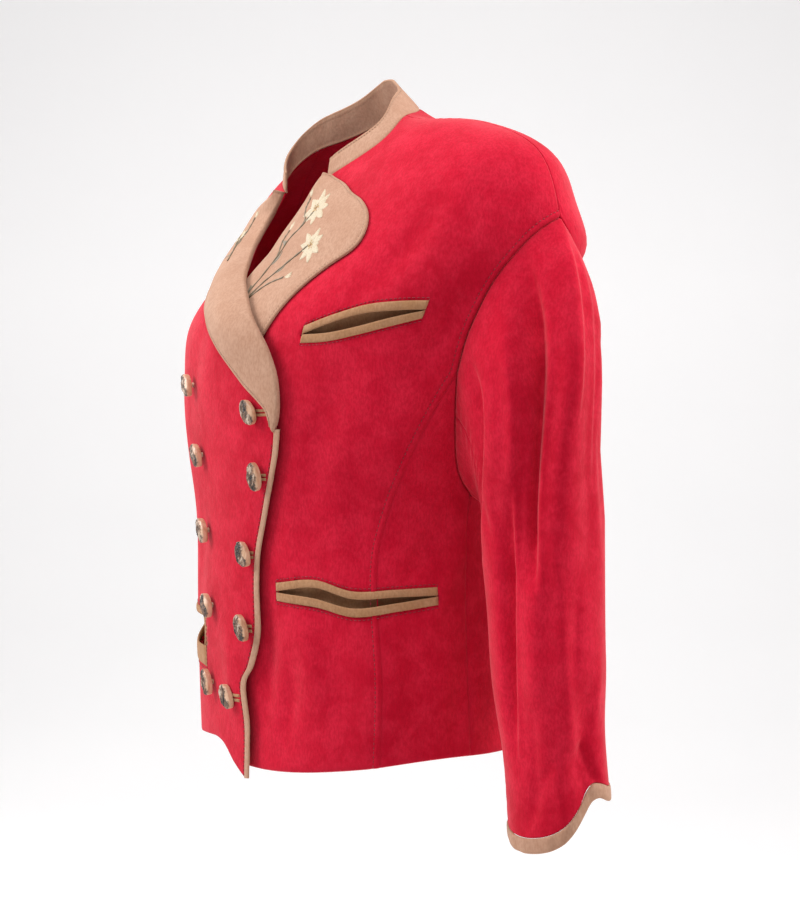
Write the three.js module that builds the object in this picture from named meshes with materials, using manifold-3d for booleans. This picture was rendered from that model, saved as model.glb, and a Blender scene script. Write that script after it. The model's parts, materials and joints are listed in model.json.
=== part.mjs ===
// A women's double-breasted trachten blazer in red suede with tan suede trim and horn buttons.
// Millimetres, +Z up, front towards -Y, wearer's left towards +X.
// The origin is the centre of the neck at the height where the shoulder seams meet the collar.
import * as THREE from "three";
import Module from "manifold-3d";
import { mergeVertices } from "three/addons/utils/BufferGeometryUtils.js";

const wasm = await Module();
wasm.setup();

// Driving sizes
const wall = 2; // suede with its turnings and stiffening
const trimWall = 1.6; // tan suede strips
const seamGap = 0.4; // between two pieces that meet at a seam
const layGap = 0.6; // between a panel and what is sewn on it
const lapLift = 7.6; // how far the right front stands off the left one where it laps over
const bindingTurn = 2.2; // width of the right front's edge binding, in degrees round the body
const cuffProud = 0.6; // how far the cuff bands stand out
const bindingProud = 0.4; // how far a binding stands out on each face of the cloth
const lapelGap = 1; // between a lapel and the front under it
const lapelPuff = 7; // how far a lapel bellies up between its roll line and its free edge
const lapelStart = 0.3; // share of the right lapel's length over which it rises
const lapelFlat = { fromLevel: 6.9, toLevel: 8 }; // the left lapel lies flat below these levels

// The body as rings from the hem up to the neck. Level 0 is the first row, level 1 the next.
// front, side and back are heights; depths run from centreY; a full of 2 is an ellipse.
const bodyRings = [
  {
    ring: "hem", front: -640, side: -607, back: -602,
    half: 198, frontDepth: 150, backDepth: 140, centreY: 12, full: 2.15,
  },
  {
    ring: "hip", front: -560, side: -545, back: -545,
    half: 200, frontDepth: 153, backDepth: 142, centreY: 12, full: 2.15,
  },
  {
    ring: "pocket", front: -480, side: -470, back: -470,
    half: 194, frontDepth: 156, backDepth: 138, centreY: 12, full: 2.15,
  },
  {
    ring: "waist", front: -405, side: -400, back: -400,
    half: 192, frontDepth: 157, backDepth: 136, centreY: 12, full: 2.15,
  },
  {
    ring: "under bust", front: -335, side: -335, back: -335,
    half: 206, frontDepth: 163, backDepth: 142, centreY: 13, full: 2.15,
  },
  {
    ring: "chest", front: -268, side: -268, back: -268,
    half: 236, frontDepth: 172, backDepth: 146, centreY: 16, full: 1.95,
  },
  {
    ring: "upper chest", front: -215, side: -205, back: -200,
    half: 268, frontDepth: 179, backDepth: 138, centreY: 27, full: 1.85,
  },
  {
    ring: "shoulder edge", front: -172, side: -136, back: -145,
    half: 280, frontDepth: 164, backDepth: 124, centreY: 43, full: 1.85,
  },
  {
    ring: "shoulder tip", front: -142, side: -72, back: -92,
    half: 258, frontDepth: 136, backDepth: 112, centreY: 43, full: 1.9,
  },
  {
    ring: "shoulder", front: -115, side: -36, back: -44,
    half: 190, frontDepth: 106, backDepth: 86, centreY: 30, full: 2,
  },
  {
    ring: "shoulder root", front: -97, side: -20, back: -10,
    half: 110, frontDepth: 82, backDepth: 64, centreY: 13, full: 2,
  },
  {
    ring: "neck", front: -82, side: -2, back: 12,
    half: 74, frontDepth: 65, backDepth: 53, centreY: 0, full: 2,
  },
];
const levelPerTurn = 1 / 20; // one level is about as long as 20 degrees

// Soft folds of the body. depth is outwards, so a hollow is below zero; lean moves the fold's
// turn by that many degrees for each level up.
const bodyFolds = [
  { turn: 118, level: 4.2, wide: 13, tall: 2.6, depth: -7, lean: 3 },
  { turn: 100, level: 2.4, wide: 9, tall: 2.2, depth: 5, lean: -3 },
  { turn: 74, level: 3.1, wide: 10, tall: 1.1, depth: -5, lean: 8 },
  { turn: 78, level: 6.3, wide: 10, tall: 1.2, depth: -6, lean: 8 },
  { turn: 115, level: 6.65, wide: 17, tall: 0.95, depth: 13, lean: 0 },
  { turn: 46, level: 1.5, wide: 9, tall: 1.6, depth: -3.5, lean: -4 },
  { turn: 60, level: 0.6, wide: 9, tall: 1.3, depth: 4, lean: 2 },
  { turn: 150, level: 3.2, wide: 12, tall: 2.2, depth: -5, lean: -2 },
  { turn: 180, level: 2.1, wide: 14, tall: 2.4, depth: -4, lean: 0 },
  { turn: -150, level: 2.8, wide: 11, tall: 2.4, depth: -6, lean: 3 },
  { turn: -116, level: 4.0, wide: 12, tall: 2.4, depth: -7, lean: -3 },
  { turn: -96, level: 2.0, wide: 9, tall: 2.2, depth: 5, lean: 3 },
  { turn: -78, level: 6.3, wide: 10, tall: 1.2, depth: -6, lean: -8 },
  { turn: -115, level: 6.65, wide: 17, tall: 0.95, depth: 13, lean: 0 },
  { turn: -52, level: 3.0, wide: 10, tall: 1.6, depth: -3.5, lean: 4 },
];

// Seams and edges as turn round the body, in degrees from centre front towards the wearer's
// left, and level.
const rollLineRight = [
  { turn: 29, level: 4.3 },
  { turn: 30.3, level: 4.55 },
  { turn: 29.6, level: 4.95 },
  { turn: 26.3, level: 5.4 },
  { turn: 22, level: 5.78 },
  { turn: 13.6, level: 6.38 },
  { turn: 4, level: 6.97 },
  { turn: -10.7, level: 8.1 },
  { turn: -23, level: 9.25 },
  { turn: -31, level: 10.25 },
];
const rollLineLeft = [
  { turn: -8, level: 4.3 },
  { turn: -4, level: 5.6 },
  { turn: 2, level: 6.7 },
  { turn: 1, level: 7.8 },
  { turn: 1, level: 8.6 },
  { turn: 6, level: 9.4 },
  { turn: 16, level: 10 },
  { turn: 31, level: 10.25 },
];
const edgeRight = [
  { turn: 14.5, level: 0 },
  { turn: 15.5, level: 0.6 },
  { turn: 14.5, level: 1.1 },
  { turn: 18, level: 1.35 },
  { turn: 21.5, level: 1.8 },
  { turn: 22.5, level: 2.6 },
  { turn: 26, level: 3.2 },
  { turn: 30, level: 3.9 },
  { turn: 31, level: 4.3 },
];
const edgeLeft = [
  { turn: 3, level: 0.15 },
  { turn: -3, level: 1 },
  { turn: -8, level: 2.2 },
  { turn: -8, level: 4.3 },
];
const hemRight = [
  { turn: 14.5, level: 0 },
  { turn: 9, level: 0.16 },
  { turn: 2, level: 0.38 },
  { turn: -8, level: 0.38 },
  { turn: -28, level: 0.24 },
  { turn: -61, level: 0 },
];
const neckline = [
  { turn: 31, level: 10.25 },
  { turn: 58, level: 9.75 },
  { turn: 98, level: 10.5 },
  { turn: 140, level: 10.85 },
  { turn: 180, level: 11 },
];
const princessSeam = [
  { turn: 61, level: 0 },
  { turn: 62, level: 1.2 },
  { turn: 62, level: 2.4 },
  { turn: 65.5, level: 3.1 },
  { turn: 71.5, level: 3.95 },
  { turn: 78, level: 5 },
];
const sideSeam = [
  { turn: 91, level: 0 },
  { turn: 90, level: 1.8 },
  { turn: 91, level: 3.4 },
];
const armholeBelowPrincess = [
  { turn: 78, level: 5 },
  { turn: 82.5, level: 4.35 },
  { turn: 86.5, level: 3.75 },
  { turn: 91, level: 3.4 },
];
const armholeFront = [
  { turn: 78, level: 5 },
  { turn: 76.5, level: 5.6 },
  { turn: 78, level: 6.2 },
  { turn: 82, level: 6.6 },
  { turn: 88, level: 6.88 },
  { turn: 97, level: 7.05 },
];
const armholeBack = [
  { turn: 91, level: 3.4 },
  { turn: 102, level: 3.75 },
  { turn: 109, level: 4.7 },
  { turn: 112, level: 5.6 },
  { turn: 109, level: 6.5 },
  { turn: 97, level: 7.05 },
];

// Turned-out lapels: the free edge, from the lower end up to the collar.
const lapelEdgeLeft = [
  { turn: 19, level: 5.35 },
  { turn: 22, level: 5.6 },
  { turn: 24, level: 5.86 },
  { turn: 28, level: 6.45 },
  { turn: 32, level: 6.8 },
  { turn: 37, level: 7.05 },
  { turn: 38.5, level: 7.3 },
  { turn: 38, level: 7.7 },
  { turn: 35.5, level: 8.3 },
  { turn: 33, level: 8.9 },
  { turn: 34, level: 9.95 },
];
const lapelEdgeRight = [
  { turn: 28.4, level: 4.37 },
  { turn: 27, level: 4.55 },
  { turn: 24, level: 4.7 },
  { turn: 19, level: 4.93 },
  { turn: 12.5, level: 5.3 },
  { turn: 2.5, level: 5.88 },
  { turn: -9, level: 6.4 },
  { turn: -20, level: 6.95 },
  { turn: -30, level: 7.5 },
  { turn: -37, level: 8.15 },
  { turn: -39, level: 8.9 },
  { turn: -33, level: 9.95 },
];

// Pockets: a row for each place along the mouth, with the levels of the upper strip's top
// edge, the mouth's two edges and the lower strip's bottom edge. backing is the space between
// the panel and the cloth behind the mouth, which clears the panel's flat facets.
const pockets = [
  {
    name: "chest_pocket_left",
    side: 1,
    backing: 1.5,
    rows: [
      { turn: 34, top: 5.78, mouthTop: 5.66, mouthBottom: 5.62, bottom: 5.5 },
      { turn: 41, top: 5.93, mouthTop: 5.81, mouthBottom: 5.62, bottom: 5.5 },
      { turn: 48, top: 6.03, mouthTop: 5.91, mouthBottom: 5.69, bottom: 5.57 },
      { turn: 55.5, top: 6.04, mouthTop: 5.92, mouthBottom: 5.79, bottom: 5.67 },
      { turn: 63, top: 6.02, mouthTop: 5.91, mouthBottom: 5.87, bottom: 5.77 },
    ],
  },
  {
    name: "hip_pocket_left",
    side: 1,
    backing: 0.8,
    rows: [
      { turn: 27, top: 2.31, mouthTop: 2.22, mouthBottom: 2.18, bottom: 2.09 },
      { turn: 41, top: 2.34, mouthTop: 2.26, mouthBottom: 2.1, bottom: 2.01 },
      { turn: 54, top: 2.19, mouthTop: 2.11, mouthBottom: 1.97, bottom: 1.88 },
      { turn: 68, top: 2.19, mouthTop: 2.11, mouthBottom: 2.01, bottom: 1.92 },
      { turn: 81, top: 2.2, mouthTop: 2.11, mouthBottom: 2.07, bottom: 1.98 },
    ],
  },
  {
    name: "hip_pocket_right",
    side: -1,
    backing: 1.05,
    rows: [
      { turn: 11, top: 1.9, mouthTop: 1.83, mouthBottom: 1.44, bottom: 1.2 },
      { turn: 24, top: 1.92, mouthTop: 1.84, mouthBottom: 1.46, bottom: 1.26 },
      { turn: 38, top: 1.96, mouthTop: 1.88, mouthBottom: 1.62, bottom: 1.5 },
      { turn: 52, top: 2.04, mouthTop: 1.96, mouthBottom: 1.82, bottom: 1.73 },
      { turn: 65, top: 2.1, mouthTop: 2.01, mouthBottom: 1.97, bottom: 1.88 },
    ],
  },
];
const pocketDip = 9; // how far the cloth behind a mouth hangs back

// Horn buttons on the right front, cut slantwise into ovals. lean is how far the top of one
// tips to the wearer's right, sunk how far it sits deeper, where the cloth curves away.
const buttonPlaces = [
  { name: "1_inner", turn: 22, level: 4.53, lean: 26, sunk: 0.75 },
  { name: "1_outer", turn: -8.5, level: 4.97, lean: 34, sunk: 0.7 },
  { name: "2_inner", turn: 23.5, level: 3.68, lean: 8 },
  { name: "2_outer", turn: -4.5, level: 3.97, lean: 36 },
  { name: "3_inner", turn: 18, level: 2.66, lean: 24 },
  { name: "3_outer", turn: -4, level: 2.93, lean: 30 },
  { name: "4_inner", turn: 16.5, level: 1.77, lean: 28 },
  { name: "4_outer", turn: -1.5, level: 1.98, lean: 32 },
  { name: "5_inner", turn: 8, level: 0.95, lean: 32 },
  { name: "5_outer", turn: -3, level: 1.05, lean: 26 },
];
const buttonLong = 30;
const buttonShort = 18;
const buttonThick = 7;
const shankRadius = 2.2;
const shankLength = 3;
const shankSunk = 0.5; // how far the shank runs into the button
const shankSides = 8;
const buttonSides = 16;

// The left sleeve's sections below the arm, each a rounded oval: halves across X and Y.
const sleeveSections = [
  { z: -412, x: 267, y: 46, halfX: 59, halfY: 52 },
  { z: -470, x: 268, y: 49, halfX: 57, halfY: 49 },
  { z: -530, x: 268, y: 52, halfX: 55, halfY: 47 },
  { z: -590, x: 269, y: 57, halfX: 50, halfY: 41 },
  { z: -654, x: 271, y: 61, halfX: 51, halfY: 40 },
];
const sleeveHeadShare = 0.46; // of the sleeve's length taken by the part above the first section
const cuffSlope = 0.6; // the cuff's edge falls this much for each millimetre towards the front
const headPush = 1.3; // how far the sleeve bellies out from the armhole
const headOut = { under: 0.9, over: 0.62 }; // outward part of the sleeve's first direction
const headDown = { under: 0.35, over: 0.78 }; // and its downward part

const cuffShare = 0.972; // of the sleeve's length above the cuff band
const cuffBandGap = 0.001; // of the sleeve's length between the sleeve and its cuff band
const cuffPinch = { around: -6, wide: 28, rise: 22 }; // where a fold hitches the cuff's edge up
const headGap = 0.0006; // of the sleeve's length between the armhole and the sleeve
const hindSeamAt = 19; // column of the head loop where the hind seam runs
const frontSeamAt = 11; // and the front seam

// Lengthwise folds of a sleeve. around is in degrees from the outer side towards the front.
const sleeveFolds = [
  { around: 66, from: 0.1, to: 0.62, wide: 15, depth: -8 },
  { around: 38, from: 0.04, to: 0.5, wide: 13, depth: -7 },
  { around: 52, from: 0.12, to: 0.55, wide: 12, depth: 4 },
  { around: 18, from: 0.02, to: 0.7, wide: 15, depth: 4 },
  { around: -14, from: 0, to: 0.6, wide: 15, depth: -5 },
  { around: 72, from: 0.5, to: 0.92, wide: 14, depth: -5 },
  { around: 0, from: 0.72, to: 1.1, wide: 18, depth: -6 },
  { around: -150, from: 0.3, to: 0.9, wide: 18, depth: -5 },
  { around: 150, from: 0.25, to: 0.8, wide: 16, depth: -4 },
  { around: -56, from: 0, to: 0.3, wide: 36, depth: 5 },
];

// The stand collar's lean and height along its run, from a front end to the middle of the back.
const collarShape = [
  { rise: 20, leanLeft: 0.3, leanRight: 0.05 },
  { rise: 29, leanLeft: 0.8, leanRight: 0.2 },
  { rise: 34, leanLeft: 0.8, leanRight: 0.45 },
  { rise: 36, leanLeft: 0.7, leanRight: 0.6 },
  { rise: 35, leanLeft: 0.62, leanRight: 0.62 },
];

// How many faces each stretch of seam gets. Pieces that share a seam share its points.
const rowsToPrincess = 12;
const rowsArmhole = 9;
const columnsFront = 11;
const columnsSide = 6;
const columnsNeck = 5;
const rowsNeckFront = 3;
const rowsEdge = 8;
const rowsLapel = 14;
const columnsLapel = 5;
const rowsCollar = 3;
const rowsBackArmhole = 8;
const rowsSleeve = 17;
const columnsPocket = 12;
const rowsFacing = 4;

const matte = (color, roughness) => new THREE.MeshStandardMaterial({ color, roughness, metalness: 0 });
const suedeRed = () => matte(0xc8193a, 0.95);
const suedeTan = () => matte(0xc79a7c, 0.95);
const horn = () => matte(0x5a4636, 0.45);

const blazer = new THREE.Group();

function addPiece(name, geometry, material) {
  const mesh = new THREE.Mesh(geometry, material);
  mesh.name = name;
  blazer.add(mesh);
}

// ---- Surfaces

const degrees = Math.PI / 180;
const sideName = (side) => (side > 0 ? "left" : "right");
const mix = (a, b, t) => a + (b - a) * t;

function smoothStep(from, to, value) {
  const t = THREE.MathUtils.clamp((value - from) / (to - from), 0, 1);
  return t * t * (3 - 2 * t);
}

// The shorter way round from one turn to another, in degrees.
const turnBetween = (turn, other) => ((((turn - other) % 360) + 540) % 360) - 180;

// A smooth value between table rows, through each row.
function between(rows, key, place) {
  const last = rows.length - 1;
  const at = THREE.MathUtils.clamp(place, 0, last);
  const i = Math.min(Math.floor(at), last - 1);
  const t = at - i;
  const p1 = rows[i][key];
  const p2 = rows[i + 1][key];
  const p0 = i > 0 ? rows[i - 1][key] : 2 * p1 - p2;
  const p3 = i < last - 1 ? rows[i + 2][key] : 2 * p2 - p1;
  const slope = (p2 - p0) * t;
  const bend = (2 * p0 - 5 * p1 + 4 * p2 - p3) * t * t;
  const twist = (3 * p1 - p0 - 3 * p2 + p3) * t * t * t;
  return p1 + 0.5 * (slope + bend + twist);
}

function foldDepth(turn, level) {
  let depth = 0;
  for (const fold of bodyFolds) {
    const along = (level - fold.level) / fold.tall;
    if (Math.abs(along) >= 1) continue;
    const middle = fold.turn + fold.lean * (level - fold.level);
    const across = turnBetween(turn, middle);
    const fade = Math.cos((along * Math.PI) / 2) ** 2;
    depth += fold.depth * fade * Math.exp(-((across / fold.wide) ** 2));
  }
  return depth;
}

function bodyPoint(turn, level) {
  const angle = turn * degrees;
  const ring = (key) => between(bodyRings, key, level);
  const power = 2 / ring("full");
  const sine = Math.sin(angle);
  const cosine = Math.cos(angle);
  const front = cosine > 0;
  const reach = ring(front ? "frontDepth" : "backDepth") * Math.abs(cosine) ** power;
  const side = ring("side");
  const fold = foldDepth(turn, level);
  return new THREE.Vector3(
    ring("half") * Math.sign(sine) * Math.abs(sine) ** power + fold * sine,
    ring("centreY") - Math.sign(cosine) * reach - fold * cosine,
    side + (ring(front ? "front" : "back") - side) * cosine * cosine,
  );
}

// The right front stands off the left one where it laps over, and lies close beyond that.
function rightLift(turn, level) {
  return lapLift * smoothStep(-36, -14, turn) * (1 - smoothStep(7.4, 9.6, level));
}

// A surface is a function of turn and level. This one is the body moved out by lift.
function bodySurface(lift = () => 0) {
  const step = 0.02;
  return (turn, level) => {
    const here = bodyPoint(turn, level);
    const low = bodyPoint(turn, level - step);
    const high = bodyPoint(turn, level + step);
    const before = bodyPoint(turn - 1, level);
    const after = bodyPoint(turn + 1, level);
    const up = high.sub(low);
    const out = after.sub(before).cross(up).normalize();
    return here.addScaledVector(out, lift(turn, level));
  };
}

// A seam's points: count steps, evenly spaced, through its table.
function seamPoints(rows, count) {
  const flat = rows.map((row) => new THREE.Vector2(row.turn * levelPerTurn, row.level));
  const points = new THREE.SplineCurve(flat).getSpacedPoints(count);
  return points.map((point) => ({ turn: point.x / levelPerTurn, level: point.y }));
}

// Several seams end to end. A join's double point is dropped.
function joined(...runs) {
  return runs.flatMap((run, i) => (i ? run.slice(1) : run));
}

const mirrored = (run) => run.map(({ turn, level }) => ({ turn: -turn, level }));
const aroundBack = (run) => run.map(({ turn, level }) => ({ turn: 360 - turn, level }));
const backwards = (run) => [...run].reverse();

// The turns and levels inside four edges: bottom and top run left to right, sides run up.
function spread({ bottom, top, left, right }) {
  const rows = left.length - 1;
  const columns = bottom.length - 1;
  return left.map((_, j) =>
    bottom.map((_, i) => {
      const s = i / columns;
      const t = j / rows;
      const value = (key) => {
        const across = mix(left[j][key], right[j][key], s);
        const along = mix(bottom[i][key], top[i][key], t);
        const lower = mix(bottom[0][key], bottom[columns][key], s);
        const upper = mix(top[0][key], top[columns][key], s);
        return across + along - mix(lower, upper, t);
      };
      return { turn: value("turn"), level: value("level") };
    }),
  );
}

const straight = (from, to, count) =>
  Array.from({ length: count + 1 }, (_, i) => ({
    turn: mix(from.turn, to.turn, i / count),
    level: mix(from.level, to.level, i / count),
  }));

// ---- Walls

const openSeams = { amount: seamGap / 2, left: true, right: true, top: true };

// Moves the rim of a grid in along its rows and columns, which opens the seams.
function trimmed(points, gap) {
  const pull = (edge, inner) => edge.clone().add(inner.clone().sub(edge).setLength(gap.amount));
  const rows = points.map((row) => row.map((point) => point.clone()));
  const last = rows.length - 1;
  const end = rows[0].length - 1;
  rows.forEach((row, j) => {
    if (gap.left) row[0] = pull(points[j][0], points[j][1]);
    if (gap.right) row[end] = pull(points[j][end], points[j][end - 1]);
  });
  for (let i = 0; i <= end; i++) {
    if (gap.bottom) rows[0][i].add(points[1][i].clone().sub(points[0][i]).setLength(gap.amount));
    if (gap.top) rows[last][i].add(points[last - 1][i].clone().sub(points[last][i]).setLength(gap.amount));
  }
  return rows;
}

// Outward direction at each grid point, from its neighbours.
function gridNormals(points, closed) {
  const last = points.length - 1;
  const end = points[0].length - 1;
  return points.map((row, j) =>
    row.map((_, i) => {
      const left = closed ? row[(i + end) % (end + 1)] : row[Math.max(i - 1, 0)];
      const right = closed ? row[(i + 1) % (end + 1)] : row[Math.min(i + 1, end)];
      const down = points[Math.max(j - 1, 0)][i];
      const up = points[Math.min(j + 1, last)][i];
      return right.clone().sub(left).cross(up.clone().sub(down)).normalize();
    }),
  );
}

const movedOut = (points, amount, closed) => {
  const normals = gridNormals(points, closed);
  return points.map((row, j) => row.map((point, i) => point.clone().addScaledVector(normals[j][i], amount)));
};

// A closed shell from outer points and the same points moved in by thick. closed joins each
// row's ends into a ring. Faces are turned outwards at the end.
function shellGeometry(outer, inner, closed = false) {
  const rows = outer.length;
  const columns = outer[0].length;
  const positions = [...outer.flat(), ...inner.flat()].flatMap((point) => point.toArray());
  const index = [];
  const at = (side, j, i) => side * rows * columns + j * columns + (i % columns);
  const quad = (a, b, c, d) => index.push(a, b, c, a, c, d);
  const across = closed ? columns : columns - 1;
  for (let j = 0; j < rows - 1; j++) {
    for (let i = 0; i < across; i++) {
      quad(at(0, j, i), at(0, j, i + 1), at(0, j + 1, i + 1), at(0, j + 1, i));
      quad(at(1, j, i), at(1, j + 1, i), at(1, j + 1, i + 1), at(1, j, i + 1));
    }
    if (closed) continue;
    quad(at(0, j, 0), at(0, j + 1, 0), at(1, j + 1, 0), at(1, j, 0));
    quad(at(0, j, columns - 1), at(1, j, columns - 1), at(1, j + 1, columns - 1), at(0, j + 1, columns - 1));
  }
  for (let i = 0; i < across; i++) {
    quad(at(0, 0, i), at(1, 0, i), at(1, 0, i + 1), at(0, 0, i + 1));
    quad(at(0, rows - 1, i), at(0, rows - 1, i + 1), at(1, rows - 1, i + 1), at(1, rows - 1, i));
  }
  if (signedVolume(positions, index) < 0) {
    for (let k = 0; k < index.length; k += 3) [index[k + 1], index[k + 2]] = [index[k + 2], index[k + 1]];
  }
  const geometry = new THREE.BufferGeometry();
  geometry.setAttribute("position", new THREE.Float32BufferAttribute(positions, 3));
  geometry.setIndex(index);
  return geometry;
}

function signedVolume(positions, index) {
  const corner = (k) => new THREE.Vector3().fromArray(positions, index[k] * 3);
  let volume = 0;
  for (let k = 0; k < index.length; k += 3) volume += corner(k).dot(corner(k + 1).cross(corner(k + 2)));
  return volume;
}

// The wall of a grid of surface points, thick measured inwards.
function wallOf(points, thick, closed = false) {
  return shellGeometry(points, movedOut(points, -thick, closed), closed);
}

// The wall of body cloth over a grid of places, thick measured inwards from lift, rim opened by gap.
function panelGeometry(places, { lift = () => 0, thick = wall, gap = openSeams }) {
  const at = (depth) => {
    const surface = bodySurface((turn, level) => lift(turn, level) - depth);
    return trimmed(places.map((row) => row.map(({ turn, level }) => surface(turn, level))), gap);
  };
  return shellGeometry(at(0), at(thick));
}

// ---- Cuts

function toSolid(geometry) {
  const bare = new THREE.BufferGeometry();
  bare.setAttribute("position", geometry.getAttribute("position").clone());
  if (geometry.index) bare.setIndex(geometry.index.clone());
  const closed = mergeVertices(bare, 1e-4);
  return new wasm.Manifold(
    new wasm.Mesh({
      numProp: 3,
      vertProperties: new Float32Array(closed.attributes.position.array),
      triVerts: new Uint32Array(closed.index.array),
    }),
  );
}

function fromSolid(solid) {
  const mesh = solid.getMesh();
  const geometry = new THREE.BufferGeometry();
  geometry.setAttribute("position", new THREE.BufferAttribute(mesh.vertProperties, mesh.numProp));
  geometry.setIndex(new THREE.BufferAttribute(mesh.triVerts, 1));
  return geometry;
}

function cut(geometry, cutters) {
  return fromSolid(cutters.reduce((solid, cutter) => solid.subtract(toSolid(cutter)), toSolid(geometry)));
}

// ---- Pockets

// One line along a pocket, between two of its edges: share 0 is the first edge, 1 the second.
function pocketLine(pocket, firstKey, secondKey, share) {
  const { rows, side } = pocket;
  return Array.from({ length: columnsPocket + 1 }, (_, i) => {
    const place = (i / columnsPocket) * (rows.length - 1);
    const level = mix(between(rows, firstKey, place), between(rows, secondKey, place), share);
    return { turn: side * between(rows, "turn", place), level };
  });
}

function pocketPatch(pocket, surface, firstKey, secondKey, steps, lift) {
  return Array.from({ length: steps + 1 }, (_, j) => {
    const line = pocketLine(pocket, firstKey, secondKey, j / steps);
    return line.map(({ turn, level }, i) => surface(turn, level, lift(j / steps, i / columnsPocket)));
  });
}

const liftedBody = (base) => (turn, level, lift) =>
  bodySurface((turnAt, levelAt) => base(turnAt, levelAt) + lift)(turn, level);

const sideLift = (side) => (side > 0 ? () => 0 : rightLift);

// The block that opens the mouth, from well outside the wall to well inside it.
function mouthCutter(pocket) {
  const surface = liftedBody(sideLift(pocket.side));
  const reach = 2 * wall;
  const outer = pocketPatch(pocket, surface, "mouthBottom", "mouthTop", 2, () => reach);
  const inner = pocketPatch(pocket, surface, "mouthBottom", "mouthTop", 2, () => -2 * reach);
  return shellGeometry(outer, inner);
}

function addPocket(pocket) {
  const surface = liftedBody(sideLift(pocket.side));
  const strip = (name, from, to) => {
    const outer = pocketPatch(pocket, surface, from, to, 1, () => layGap + trimWall);
    const inner = pocketPatch(pocket, surface, from, to, 1, () => layGap);
    addPiece(`${pocket.name}_${name}`, shellGeometry(outer, inner), suedeTan());
  };
  strip("upper_strip", "mouthTop", "top");
  strip("lower_strip", "bottom", "mouthBottom");
  const dip = (across, along) => pocketDip * Math.sin(Math.PI * across) * Math.sin(Math.PI * along);
  const back = (depth) => (across, along) => -wall - pocket.backing - depth - dip(across, along);
  const outer = pocketPatch(pocket, surface, "bottom", "top", rowsFacing, back(0));
  const inner = pocketPatch(pocket, surface, "bottom", "top", rowsFacing, back(trimWall));
  addPiece(`${pocket.name}_facing`, shellGeometry(outer, inner), suedeTan());
}

// ---- Body panels

const princess = seamPoints(princessSeam, rowsToPrincess);
const sideRun = seamPoints(sideSeam, rowsToPrincess);
const underArm = seamPoints(armholeBelowPrincess, columnsSide);
const armFront = seamPoints(armholeFront, rowsArmhole);
const armBack = seamPoints(armholeBack, rowsBackArmhole);
const armTop = armFront[rowsArmhole];
const neckRun = seamPoints(neckline, rowsNeckFront + columnsNeck);
const neckFront = neckRun.slice(0, rowsNeckFront + 1);
const neckBack = neckRun.slice(rowsNeckFront);
const shoulder = straight(neckFront[rowsNeckFront], armTop, columnsFront);

// A front's places: its inner edge runs up the front edge, the roll line and the neckline.
function frontPlaces({ edge, rollLine, bottom, flip }) {
  const rollRows = rowsToPrincess + rowsArmhole - rowsEdge - rowsNeckFront;
  const inner = joined(edge, seamPoints(rollLine, rollRows), flip(neckFront));
  const outer = flip(joined(princess, armFront));
  const hem = bottom ?? straight(inner[0], outer[0], columnsFront);
  return spread({ bottom: hem, top: flip(shoulder), left: inner, right: outer });
}

const bindingEdgeRight = seamPoints(edgeRight, rowsEdge);
const clothEdgeRight = bindingEdgeRight.map(({ turn, level }) => ({ turn: turn - bindingTurn, level }));
const hemRightRun = seamPoints(hemRight, columnsFront);

function addFront(side) {
  const places =
    side > 0
      ? frontPlaces({ edge: seamPoints(edgeLeft, rowsEdge), rollLine: rollLineLeft, flip: (run) => run })
      : frontPlaces({ edge: clothEdgeRight, rollLine: rollLineRight, bottom: hemRightRun, flip: mirrored });
  const panel = panelGeometry(places, { lift: sideLift(side) });
  const cutters = pockets.filter((pocket) => pocket.side === side).map(mouthCutter);
  addPiece(`front_${sideName(side)}`, cut(panel, cutters), suedeRed());
}

function addSideFront(side) {
  const places = spread({
    bottom: straight(princess[0], sideRun[0], columnsSide),
    top: underArm,
    left: princess,
    right: sideRun,
  });
  const panel = panelGeometry(side > 0 ? places : places.map(mirrored), { lift: sideLift(side) });
  const cutters = pockets.filter((p) => p.side === side && p.name.startsWith("hip")).map(mouthCutter);
  addPiece(`side_front_${sideName(side)}`, cut(panel, cutters), suedeRed());
}

function addBack() {
  const left = joined(sideRun, armBack);
  const shoulderLeft = backwards(shoulder);
  const top = joined(shoulderLeft, neckBack, aroundBack(backwards(neckBack)), aroundBack(shoulder));
  const right = aroundBack(left);
  const places = spread({ bottom: straight(left[0], right[0], top.length - 1), top, left, right });
  addPiece("back", panelGeometry(places, {}), suedeRed());
}

// ---- Sleeves

const headLoop = joined(backwards(armFront), underArm, armBack).slice(0, -1);
const underarmAt = rowsArmhole + columnsSide;

// Degrees round the sleeve of each head point: 0 on the outer side, 90 front, 180 under the arm.
function aroundOf(i) {
  const frontShare = i / underarmAt;
  const backShare = (i - underarmAt) / (headLoop.length - underarmAt);
  return i <= underarmAt ? 180 * frontShare : 180 + 180 * backShare;
}

function sectionPoint(around, place) {
  const angle = around * degrees;
  const value = (key) => between(sleeveSections, key, place);
  const y = value("y") - value("halfY") * Math.sin(angle);
  const nearCuff = smoothStep(0.3, 1, place / (sleeveSections.length - 1));
  const hitch = cuffPinch.rise * Math.exp(-((turnBetween(around, cuffPinch.around) / cuffPinch.wide) ** 2));
  const z = value("z") + nearCuff * (cuffSlope * (y - value("y")) + hitch);
  return new THREE.Vector3(value("x") + value("halfX") * Math.cos(angle), y, z);
}

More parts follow.
